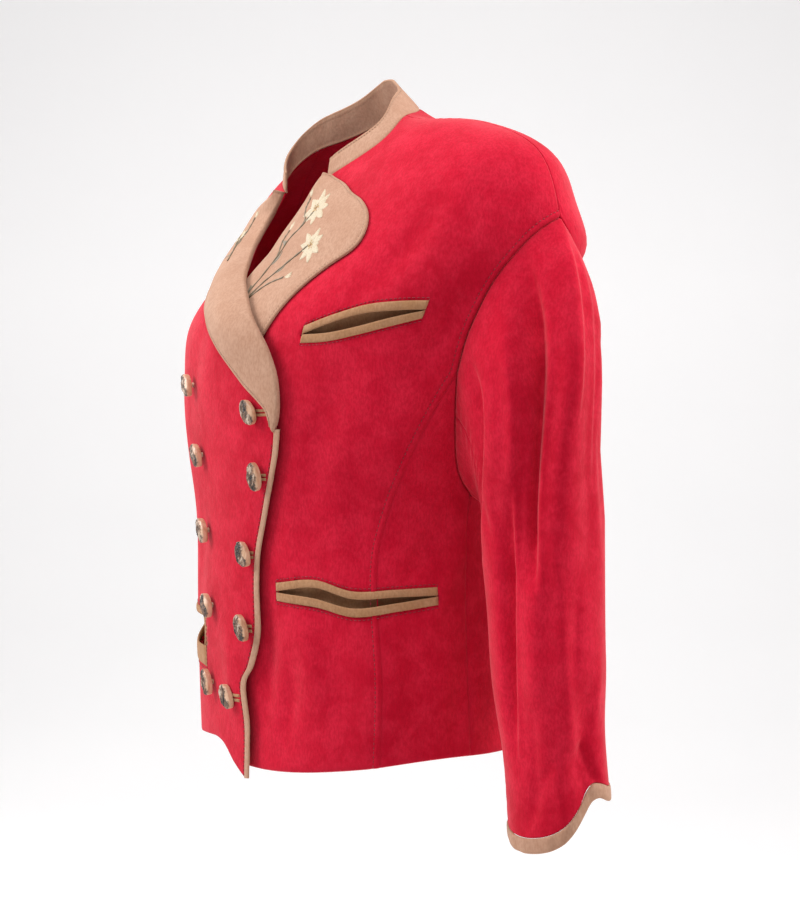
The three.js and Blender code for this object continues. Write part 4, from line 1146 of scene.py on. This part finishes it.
def makeCollar():
    # A stand collar, leaning in, from the left front end round the back to the right one.
    look, shares = collarLook, np.linspace(0, 2, collarLook["columns"])
    half = np.where(shares <= 1, shares, 2 - shares)
    places = neckRun(half)
    places[:, 0] *= np.where(shares <= 1, 1, -1)
    foot, _ = bodySurface(places[:, 0], places[:, 1])
    rise = between(collarShape["rise"], half * 4)
    leans = [between(collarShape[key], half * 4) for key in ("leanLeft", "leanRight")]
    lean = np.where(shares <= 1, *leans)
    inwards = unit(foot * (-1, -1, 0))
    direction = inwards * np.sin(lean)[:, None] + np.array((0, 0, 1)) * np.cos(lean)[:, None]
    ups = np.concatenate([[0, 0.02, 0.05, 0.1], np.linspace(0.16, 0.9, 14), [0.94, 0.97, 0.99, 1]])
    height = look["foot"] + (rise - look["foot"])[None] * ups[:, None]
    grid = foot[None] + direction[None] * height[..., None]
    normals = gridNormals(grid)
    wave = look["wave"] * np.sin(shares * 17 + 1.3 * np.sin(shares * 6)) * smoothStep(0.2, 1, ups)[:, None]
    distances = edgeDistances(grid)
    ends = np.minimum(distances["left"], distances["right"])
    relief = wave - 0.6 * bell(distances["bottom"], 1.4)
    for edge in (distances["top"], ends):
        relief -= 0.4 * bell(edge - look["stitchInset"], 1.0)
    grid = grid + normals * relief[..., None]
    vertices, faces = shellFaces(grid, grid - normals * look["thick"])
    nearest = np.min(list(distances.values()), axis=0)
    wear = shellValues(0.7 * bell(nearest, 2.0) + 0.2 * bell(distances["top"], 9))
    piece = addMesh("collar_sewn", vertices, faces, tanSuede, {"wear": wear})
    finish(piece, "collar")
    middle = look["columns"] // 2
    row = int(np.argmin(np.abs(distances["top"][:, middle] - look["stitchInset"])))
    addRun(tanRuns, grid[row, 6:-6], normals[row, 6:-6])


lapelLook = {
    "gap": 1,  # between it and the front
    "thick": 2.0,
    "puff": 7,  # how far its middle stands up
    "start": 0.3,  # share of the right lapel's length over which it rises
    "flatFrom": 6.9,  # the left lapel lies flat below these levels
    "flatTo": 8,
    "seamInset": 3.2,  # the fine line of stitches inside its free edge
    "size": (330, 110, 3),  # rough length and width, and width of its squares
    "edge": (1.35, 5),  # radius and tuck of its free edge
    "rollLine": (3.1, 7),  # and where it turns out of the front
    "suede": 1.3,
}


def lapelPoint(side, along, across, out=0.0):
    # A point of a lapel: along from its lower end to the collar, across from roll line to free edge.
    left = side > 0
    roll = seamRun(rollLineLeft[1:] if left else rollLineRight)(along)
    edge = seamRun(lapelEdgeLeft if left else lapelEdgeRight)(along)
    places = mix(roll, edge, np.asarray(across, float)[..., None])
    turn, level = places[..., 0], places[..., 1]
    look = lapelLook
    free = smoothStep(look["flatFrom"], look["flatTo"], level) if left else smoothStep(0, look["start"], along)
    puff = look["puff"] * free * np.sin(math.pi * np.asarray(across, float))
    return clothPoint(side, turn, level, look["gap"] + look["thick"] + puff + out)


def makeLapel(side):
    label, look = "left" if side > 0 else "right", lapelLook
    length, width, square = look["size"]
    along, across = np.meshgrid(stations(length, square), stations(width, square), indexing="ij")
    points, out = lapelPoint(side, along, across)
    normals = gridNormals(points)
    if np.mean(np.sum(normals * out, -1)) < 0:
        normals = -normals
    distances = edgeDistances(points)
    free = distances["right"]
    relief = -0.55 * bell(free - look["seamInset"], 0.9) + 0.35 * bell(free - 1.2, 1.2)
    relief -= 0.55 * bell(distances["top"] - look["seamInset"], 0.9)
    relief += 0.5 * np.sin(along * 29 + 2 * across) * np.sin(math.pi * across)
    points = points + normals * relief[..., None]
    sheet = rollOver(points, normals, *look["edge"])
    sheet = rollOver(sheet[:, ::-1], normals[:, ::-1], *look["rollLine"])[:, ::-1]
    wear = np.zeros(sheet.shape[:2])
    wear[:, -12:-8] = 0.7  # on the free edge
    middle = sheet.shape[0] // 2
    faces = turnedOut(gridFaces(gridNumbers(sheet)), sheet, middle, 14, normals[middle, 4])
    piece = addMesh(f"lapel_{label}_sewn", sheet.reshape(-1, 3), faces, tanSuede, {"wear": wear.reshape(-1)})
    finish(piece, f"lapel_{label}")
    thicken(piece, look["suede"])
    path, outs = besideColumn(points, normals, free, look["seamInset"])
    addRun(tanRuns, path[3:-3], outs[3:-3])
    return piece


def thicken(piece, thick):
    # Gives a single sheet a thickness towards its back.
    modifier = piece.modifiers.new("thickness", "SOLIDIFY")
    modifier.thickness = thick * metre
    modifier.offset = -1
    modifier.use_even_offset = False
    bpy.context.view_layer.objects.active = piece
    with bpy.context.temp_override(object=piece, active_object=piece, selected_objects=[piece]):
        bpy.ops.object.modifier_apply(modifier=modifier.name)


bindingLook = {
    "rows": 150,
    "across": (0, 0.06, 0.16, 0.35, 0.6, 0.85, 1.0),  # shares from its seam to the edge
    "lift": (-0.3, 0.4, 0.7, 0.8, 0.8, 0.7, 0.5),  # how far it stands up at each
    "ripple": 0.1,
    "radius": 0.95,
    "tuck": 8,
}


def makeFrontBinding():
    # A narrow tan strip folded over the right front's edge.
    look, along = bindingLook, np.linspace(0, 1, bindingLook["rows"])
    cloth, edge = clothEdge(along), seamRun(edgeRight)(along)
    shares, lift = np.array(look["across"]), np.array(look["lift"])
    places = mix(cloth[:, None], edge[:, None], shares[None, :, None])
    ripple = look["ripple"] * np.sin(along * 61 + 2 * np.sin(along * 13))
    out = lift[None] + ripple[:, None] * (shares > 0.1)[None]
    points, normals = clothPoint(-1, places[..., 0], places[..., 1], out)
    sheet = rollOver(points, normals, look["radius"], look["tuck"])
    wear = np.zeros(sheet.shape[:2])
    wear[:, :2], wear[:, 6:10] = 0.8, 0.6  # along its seam and on its rounded edge
    wear = np.maximum(wear, (0.5 * bell(along - 1, 0.04))[:, None])  # and at its upper end
    faces, name = gridFaces(gridNumbers(sheet)), "front_binding_right"
    piece = addMesh(f"{name}_sewn", sheet.reshape(-1, 3), faces, tanSuede, {"wear": wear.reshape(-1)})
    finish(piece, name)


makeCollar()
lapels = {side: makeLapel(side) for side in (1, -1)}
makeFrontBinding()
print("collar, lapels and binding made")

buttonPlaces = {  # turn, level, lean of its top towards the wearer's right, how far it sits sunk
    "1_inner": (22, 4.53, 26, 0.75),
    "1_outer": (-8.5, 4.97, 34, 0.7),
    "2_inner": (23.5, 3.68, 8, 0),
    "2_outer": (-4.5, 3.97, 36, 0),
    "3_inner": (18, 2.66, 24, 0),
    "3_outer": (-4, 2.93, 30, 0),
    "4_inner": (16.5, 1.77, 28, 0),
    "4_outer": (-1.5, 1.98, 32, 0),
    "5_inner": (8, 0.95, 32, 0),
    "5_outer": (-3, 1.05, 26, 0),
}
buttonLook = {
    "long": 25.5, "short": 13.8, "thick": 6.2,
    "standOff": 3.1,  # from the cloth to its back
    "shank": 2.2,  # radius of the thread shank
    "shankRings": ((-0.4, 1.15), (0.3, 1.15), (1.2, 0.85), (2.2, 0.85), (3.4, 1.0)),  # out, share of that
    "sides": 64,
    "rings": (  # share of its width and share of its thickness, from the middle of the face to the back
        (0.02, 1), (0.12, 1), (0.24, 1), (0.36, 1), (0.48, 1), (0.6, 1), (0.7, 1), (0.79, 1), (0.86, 1),
        (0.92, 0.985), (0.965, 0.95), (0.99, 0.88), (1.0, 0.78), (0.995, 0.6), (0.985, 0.4), (0.975, 0.2),
        (0.96, 0.08), (0.9, 0.0), (0.5, 0.0), (0.02, 0.0)),
    "dome": 0.9, "groove": 0.55, "pits": 0.28,  # heights on its face
    "slope": 0.72,  # the face is lower by this much on its cut side
}


def closedRings(numbers, outwards):
    # The faces round a stack of rings, with its first and last ring closed.
    step = -1 if outwards else 1
    faces = [list(face) for face in gridFaces(numbers, closed=True)[:, ::step]]
    faces.append([int(i) for i in numbers[0][::-step]])
    faces.append([int(i) for i in numbers[-1][::step]])
    return faces


def makeButton(name, place, number):
    # A slant-cut slice of antler: a rough domed bark face, a smooth cut rim and a thread shank.
    turn, level, lean, sunk = place
    point, normal = bodySurface(np.array(turn), np.array(level))
    point = point + normal * (rightLift(np.array(turn), np.array(level)) - sunk)
    up = unit(np.array((0.0, 0.0, 1.0)) - normal * normal[2])
    right = np.cross(up, normal)
    angle = math.radians(lean)
    longWay = up * math.cos(angle) - right * math.sin(angle)
    shortWay = np.cross(longWay, normal)
    look, phase = buttonLook, number * 1.7
    around = np.linspace(0, 2 * math.pi, look["sides"] + 1)[:-1]
    outline = 1 + 0.035 * np.sin(2 * around + phase) + 0.025 * np.sin(3 * around + 2 * phase)
    outline += 0.012 * np.sin(7 * around + phase)
    vertices, barks = [], []
    for reach, height in look["rings"]:
        beside = reach * outline * np.cos(around)  # -1 on the bark side and 1 on the cut side
        x = beside * look["short"] / 2
        y = reach * outline * np.sin(around) * look["long"] / 2
        groove = np.sin(x * 1.3 + 0.9 * np.sin(y * 0.33 + phase) + phase)
        groove = groove * (0.7 + 0.3 * np.sin(y * 0.4 + 1.1 * phase))
        pits = np.sin(x * 2.3 + y * 0.9 + phase) * np.sin(y * 1.4 - x * 0.6)
        face = smoothStep(0.6, 0.95, height) * (1 - smoothStep(0.93, 1.0, reach))
        relief = look["dome"] * (1 - reach**2) + look["groove"] * groove + look["pits"] * pits
        z = look["standOff"] + look["thick"] * height + face * relief
        z = z - look["slope"] * beside * smoothStep(0.2, 1, height)
        vertices.append(point + x[:, None] * shortWay + y[:, None] * longWay + z[:, None] * normal)
        ragged = 0.07 * np.sin(5 * around + phase) + 0.05 * np.sin(11 * around)
        slant = beside + 0.16 * np.sin(0.45 * y + phase) + 0.06 * np.sin(1.9 * y)
        bark = smoothStep(0.8, 0.97, height + ragged * smoothStep(0.86, 0.99, reach))
        barks.append(bark * (1 - smoothStep(0.5, 0.7, slant)))
    grid, ways = np.array(vertices), around[::4]
    circle = np.cos(ways)[:, None] * right + np.sin(ways)[:, None] * up
    shank = np.array([point + normal * out + look["shank"] * size * circle for out, size in look["shankRings"]])
    first = grid.shape[0] * grid.shape[1]
    faces = closedRings(gridNumbers(grid), True) + closedRings(gridNumbers(shank) + first, False)
    points = np.vstack([grid.reshape(-1, 3), shank.reshape(-1, 3)])
    values = np.concatenate(barks + [np.zeros(shank.shape[0] * shank.shape[1])])
    finish(addMesh(f"{name}_horn", points, faces, horn, {"bark": values}), name)


buttonholeLook = {
    "before": 1.5, "beyond": 5.4,  # how far round the body it reaches on both sides of its button,
    "short": 0.9,  # and how far it stays off the binding
    "below": 0.012, "slit": 0.006, "lip": 0.042,  # in levels
    "across": (0.0, 0.15, 0.5, 0.85, 1.0),  # shares from the slit to a lip's seam
    "lift": (-0.6, 0.7, 0.9, 0.5, -0.2),
    "wear": (0.9, 0.2, 0, 0.3, 0.8),
    "columns": 40,
}


def makeButtonhole(name, place):
    # A bound buttonhole: two narrow lips and a slit, showing beside its button.
    look, (middle, height) = buttonholeLook, place[:2]
    edgeTurns, edgeLevels = np.array(edgeRight).T
    end = np.interp(height, edgeLevels, edgeTurns) - bindingTurn - look["short"]
    turn = np.linspace(middle - look["before"], min(middle + look["beyond"], end), look["columns"])[:, None]
    share = np.linspace(0, 1, look["columns"])[:, None]
    ends = smoothStep(0, 0.06, share) * smoothStep(0, 0.06, 1 - share)
    lift = np.array(look["lift"])[None] * ends
    away = (look["slit"] + look["lip"] * np.array(look["across"]))[None]
    parts, faces = [], []
    for way in (1, -1):
        level = height - look["below"] + way * away + 0 * share
        points, _ = clothPoint(-1, np.broadcast_to(turn, level.shape), level, lift)
        faces.append(gridFaces(gridNumbers(points) + len(parts) * level.size)[:, :: -way])
        parts.append(points.reshape(-1, 3))
    wear = np.tile(look["wear"], 2 * look["columns"])
    finish(addMesh(name, np.vstack(parts), np.vstack(faces), stripSuede, {"wear": wear}), None)


for number, (name, place) in enumerate(buttonPlaces.items(), 1):
    makeButton(f"button_{name}", place, number)
    if "inner" in name:
        makeButtonhole(f"buttonhole_{name[0]}", place)
print("buttons made")


def surfaceFinder(piece):
    # Finds where a line down through a point meets a piece.
    polygons = [list(polygon.vertices) for polygon in piece.data.polygons]
    tree = BVHTree.FromPolygons([vertex.co for vertex in piece.data.vertices], polygons)

    def onTo(point, normal):
        start = Vector((point + normal * 25) * metre)
        hit = tree.ray_cast(start, Vector(-normal))[0]
        return np.array(hit) / metre if hit is not None else point

    return onTo


def lapelFrame(side, along, across):
    # A place on a lapel: the point, its directions ahead and aside, and the one out of it.
    point, normal = lapelPoint(side, np.array(along), np.array(across))
    ahead = lapelPoint(side, np.array(along + 0.01), np.array(across))[0] - point
    ahead = unit(ahead - normal * np.dot(ahead, normal))
    return point, ahead, np.cross(normal, ahead), normal


def leafPatch(onTo, frame, start, angle, length, width, rise, shape=0.9, curl=0.0):
    # A pointed leaf or petal of satin stitches, lying on the cloth.
    point, ahead, aside, normal = frame
    rows, columns = 11, 7
    shares, sides = np.linspace(0, 1, rows), np.linspace(-1, 1, columns)
    vertices = []
    for s in shares:
        half = width / 2 * math.sin(math.pi * min(s**shape, 1)) ** 0.7 if 0 < s < 1 else width * 0.06
        bend = angle + curl * s * s
        for t in sides:
            x = start[0] + math.cos(bend) * length * s - math.sin(bend) * half * t
            y = start[1] + math.sin(bend) * length * s + math.cos(bend) * half * t
            ground = onTo(point + ahead * x + aside * y, normal)
            ridge = 0.16 * math.cos(t * math.pi * 2.5 + s * 3)
            height = rise * (1 - t * t) ** 0.5 + ridge * (1 - abs(t)) - 0.12
            vertices.append(ground + normal * height)
    return np.array(vertices), gridFaces(np.arange(rows * columns).reshape(rows, columns))


def stemPath(onTo, side, points):
    # A chain-stitched stem as a low rope through a few places of a lapel.
    points = np.array(points, float)
    place = np.linspace(0, len(points) - 1, 14 * (len(points) - 1))
    ground, normals = lapelPoint(side, between(points[:, 0], place), between(points[:, 1], place))
    centre = np.array([onTo(point, normal) for point, normal in zip(ground, normals)])
    sides = np.cross(unit(np.gradient(centre, axis=0)), normals)
    knots = 1 + 0.22 * np.sin(place * 14)
    rings = []
    for angle in np.radians((-20, 30, 90, 150, 200)):
        rings.append(centre + knots[:, None] * (sides * math.cos(angle) + normals * math.sin(angle)))
    grid = np.stack(rings, 1)
    return grid.reshape(-1, 3), gridFaces(gridNumbers(grid))


class Stitchwork:
    # Gathers the patches of one thread colour into one piece.

    def __init__(self, name, material):
        self.name, self.material = name, material
        self.parts, self.faces, self.first = [], [], 0

    def take(self, patch):
        vertices, faces = patch
        self.parts.append(vertices)
        self.faces.append(faces + self.first)
        self.first += len(vertices)

    def close(self):
        piece = addMesh(self.name, np.vstack(self.parts), np.vstack(self.faces), self.material)
        finish(piece, None)


def flower(works, onTo, frame, size, petals, turn):
    # Two rings of petals round a knotted centre.
    for i in range(petals):  # short inner petals between the long ones
        angle = turn + 2 * math.pi * (i + 0.5) / petals + 0.1 * math.sin(i * 3.1)
        start = (math.cos(angle) * size * 0.1, math.sin(angle) * size * 0.1)
        works["cream"].take(leafPatch(onTo, frame, start, angle, size * 0.62, size * 0.36, 0.5, 0.8))
    for i in range(petals):
        angle = turn + 2 * math.pi * i / petals + 0.12 * math.sin(i * 2.3)
        reach = size * (0.95 + 0.12 * math.sin(i * 1.9 + turn))
        start = (math.cos(angle) * size * 0.16, math.sin(angle) * size * 0.16)
        works["cream"].take(leafPatch(onTo, frame, start, angle, reach, size * 0.5, 0.7, 0.8))
    for i in range(9):
        angle, reach = i * 2.4, size * 0.07 * math.sqrt(i)
        start = (math.cos(angle) * reach, math.sin(angle) * reach)
        works["gold"].take(leafPatch(onTo, frame, start, angle, size * 0.13, size * 0.12, 1.0, 1.0))


embroidery = {  # each place is a share along the lapel, from its lower end, and a share across it
    "left": {
        "side": 1,
        "flowers": [((0.66, 0.56), 18, 8, 0.4), ((0.42, 0.62), 16, 7, 0.1)],  # size, petals, turn
        "buds": [((0.56, 0.22), 0.3, 10), ((0.28, 0.68), -0.6, 9), ((0.8, 0.4), 0.2, 8)],  # angle, length
        "stems": [[(0.14, 0.36), (0.3, 0.3), (0.46, 0.32), (0.58, 0.44), (0.64, 0.54)],
                  [(0.15, 0.4), (0.26, 0.44), (0.36, 0.52), (0.42, 0.6)],
                  [(0.19, 0.42), (0.25, 0.54), (0.28, 0.66)],
                  [(0.38, 0.3), (0.48, 0.22), (0.56, 0.22)], [(0.58, 0.44), (0.7, 0.38), (0.79, 0.4)]],
        "leaves": [((0.2, 0.35), 0.7, 17, 5.4), ((0.3, 0.46), -0.7, 15, 5.0), ((0.34, 0.3), -0.5, 17, 5.6),
                   ((0.44, 0.31), 0.75, 15, 5.0), ((0.52, 0.37), -0.8, 13, 4.4), ((0.16, 0.38), -0.8, 12, 4.2)],
    },
    "right": {
        "side": -1,
        "flowers": [((0.72, 0.42), 10, 6, 0.2)],
        "buds": [((0.82, 0.34), 0.2, 7)],
        "stems": [[(0.56, 0.4), (0.64, 0.36), (0.72, 0.42)], [(0.64, 0.36), (0.74, 0.3), (0.82, 0.34)]],
        "leaves": [((0.6, 0.38), 0.7, 12, 4.0), ((0.66, 0.36), -0.7, 11, 3.6)],
    },
}


def embroider(label, plan):
    side = plan["side"]
    onTo = surfaceFinder(lapels[side])
    works = {"cream": Stitchwork(f"embroidery_petals_{label}", creamSilk),
             "gold": Stitchwork(f"embroidery_centres_{label}", goldSilk),
             "olive": Stitchwork(f"embroidery_stems_{label}", oliveSilk)}
    for points in plan["stems"]:
        works["olive"].take(stemPath(onTo, side, points))
    for place, angle, length, width in plan["leaves"]:
        here = lapelFrame(side, *place)
        works["olive"].take(leafPatch(onTo, here, (0, 0), angle, length, width, 0.5, 0.9, 0.25))
    for place, size, petals, turn in plan["flowers"]:
        flower(works, onTo, lapelFrame(side, *place), size, petals, turn)
    for place, angle, length in plan["buds"]:
        here = lapelFrame(side, *place)
        for way in (-0.35, 0.0, 0.35):
            works["cream"].take(leafPatch(onTo, here, (0, 0), angle + way, length, length * 0.36, 0.6))
    for work in works.values():
        work.close()


for label, plan in embroidery.items():
    embroider(label, plan)
makeStitches("topstitching_red", redRuns, redThread, "red_suede", *stitchLook["red"])
makeStitches("topstitching_tan", tanRuns, tanThread, "tan_suede", *stitchLook["tan"])
print("embroidery and stitches made")

cameraPlan = {  # turn is from the front towards the wearer's left, in degrees
    "turn": 62, "distance": 1.6, "aside": 0.043, "height": -0.34, "lens": 63.0, "sensor": 36.0,
}
sweepLook = {  # metres
    "near": -6.0, "bend": 2.4, "radius": 1.6, "floor": -1.35, "top": 6.0, "half": 8.0,
    "paper": ((0.86, 0.855, 0.86), (0.88, 0.875, 0.878)),
    "glow": (1.0, 0.975, 0.965), "glowStrength": 0.23,
}
lights = [  # name, degrees round from the front and up, distance, size, power
    ("key", -26, 28, 2.4, (1.2, 1.6), 56),
    ("side", 146, 24, 2.6, (1.2, 1.8), 62),
    ("top", 66, 66, 2.3, (1.4, 1.4), 44),
    ("far side", -80, 20, 2.8, (1.6, 2.0), 8),
]
lightTarget = (0, 0, -0.32)
worldLight = {"colour": (1.0, 0.995, 1.0), "strength": 0.26}


def makeSweep():
    # A pale floor that curves up into a backdrop.
    look = sweepLook
    bend, radius, low = look["bend"], look["radius"], look["floor"]
    profile = [(look["near"], low), (bend, low)]
    for angle in np.radians((15, 30, 45, 60, 75, 90)):
        profile.append((bend + radius * math.sin(angle), low + radius - radius * math.cos(angle)))
    profile.append((bend + radius, look["top"]))
    turn = math.radians(cameraPlan["turn"])
    away, aside = np.array((-math.sin(turn), math.cos(turn))), np.array((math.cos(turn), math.sin(turn)))
    points = []
    for distance, height in profile:
        for shift in (-look["half"], look["half"]):
            x, y = away * distance + aside * shift
            points.append((x / metre, y / metre, height / metre))
    faces = [(2 * i, 2 * i + 1, 2 * i + 3, 2 * i + 2) for i in range(len(profile) - 1)]
    nodes = Nodes("studio paper")
    nodes.link(nodes.blendColours(nodes.noise(3, 2), *look["paper"]), nodes.shader.inputs["Base Color"])
    nodes.shader.inputs["Roughness"].default_value = 0.95
    nodes.shader.inputs["Emission Color"].default_value = (*look["glow"], 1)
    nodes.shader.inputs["Emission Strength"].default_value = look["glowStrength"]
    addMesh("studio_sweep", points, faces, nodes.material)


def softBox(name, azimuth, elevation, distance, size, power):
    # A soft oblong light, aimed at the blazer.
    light = bpy.data.lights.new(name, "AREA")
    light.shape = "RECTANGLE"
    light.size, light.size_y = size
    light.energy = power
    lamp = bpy.data.objects.new(name, light)
    a, e = math.radians(azimuth), math.radians(elevation)
    way = Vector((math.sin(a) * math.cos(e), -math.cos(a) * math.cos(e), math.sin(e)))
    lamp.location = Vector(lightTarget) + way * distance
    lamp.rotation_euler = (-way).to_track_quat("-Z", "Y").to_euler()
    bpy.context.scene.collection.objects.link(lamp)


def makeCamera():
    # Level with the blazer's middle, a little past its left front.
    plan = cameraPlan
    turn = math.radians(plan["turn"])
    camera = bpy.data.objects.new("camera", bpy.data.cameras.new("camera"))
    camera.data.lens, camera.data.sensor_width = plan["lens"], plan["sensor"]
    camera.data.clip_start, camera.data.clip_end = 0.05, 50
    x = math.sin(turn) * plan["distance"] + math.cos(turn) * plan["aside"]
    y = -math.cos(turn) * plan["distance"] + math.sin(turn) * plan["aside"]
    camera.location = (x, y, plan["height"])
    camera.rotation_euler = (math.pi / 2, 0, turn)
    bpy.context.scene.collection.objects.link(camera)
    bpy.context.scene.camera = camera


makeSweep()
for light in lights:
    softBox(*light)
world = bpy.data.worlds.new("studio")
world.use_nodes = True
background = world.node_tree.nodes["Background"]
background.inputs["Color"].default_value = (*worldLight["colour"], 1)
background.inputs["Strength"].default_value = worldLight["strength"]
bpy.context.scene.world = world
bpy.context.scene.view_settings.view_transform = "Standard"
makeCamera()
print("studio made")

triangles = sum(sum(len(p.vertices) - 2 for p in piece.data.polygons) for piece in pieces)
print("made", len(pieces), "pieces with", triangles, "triangles")
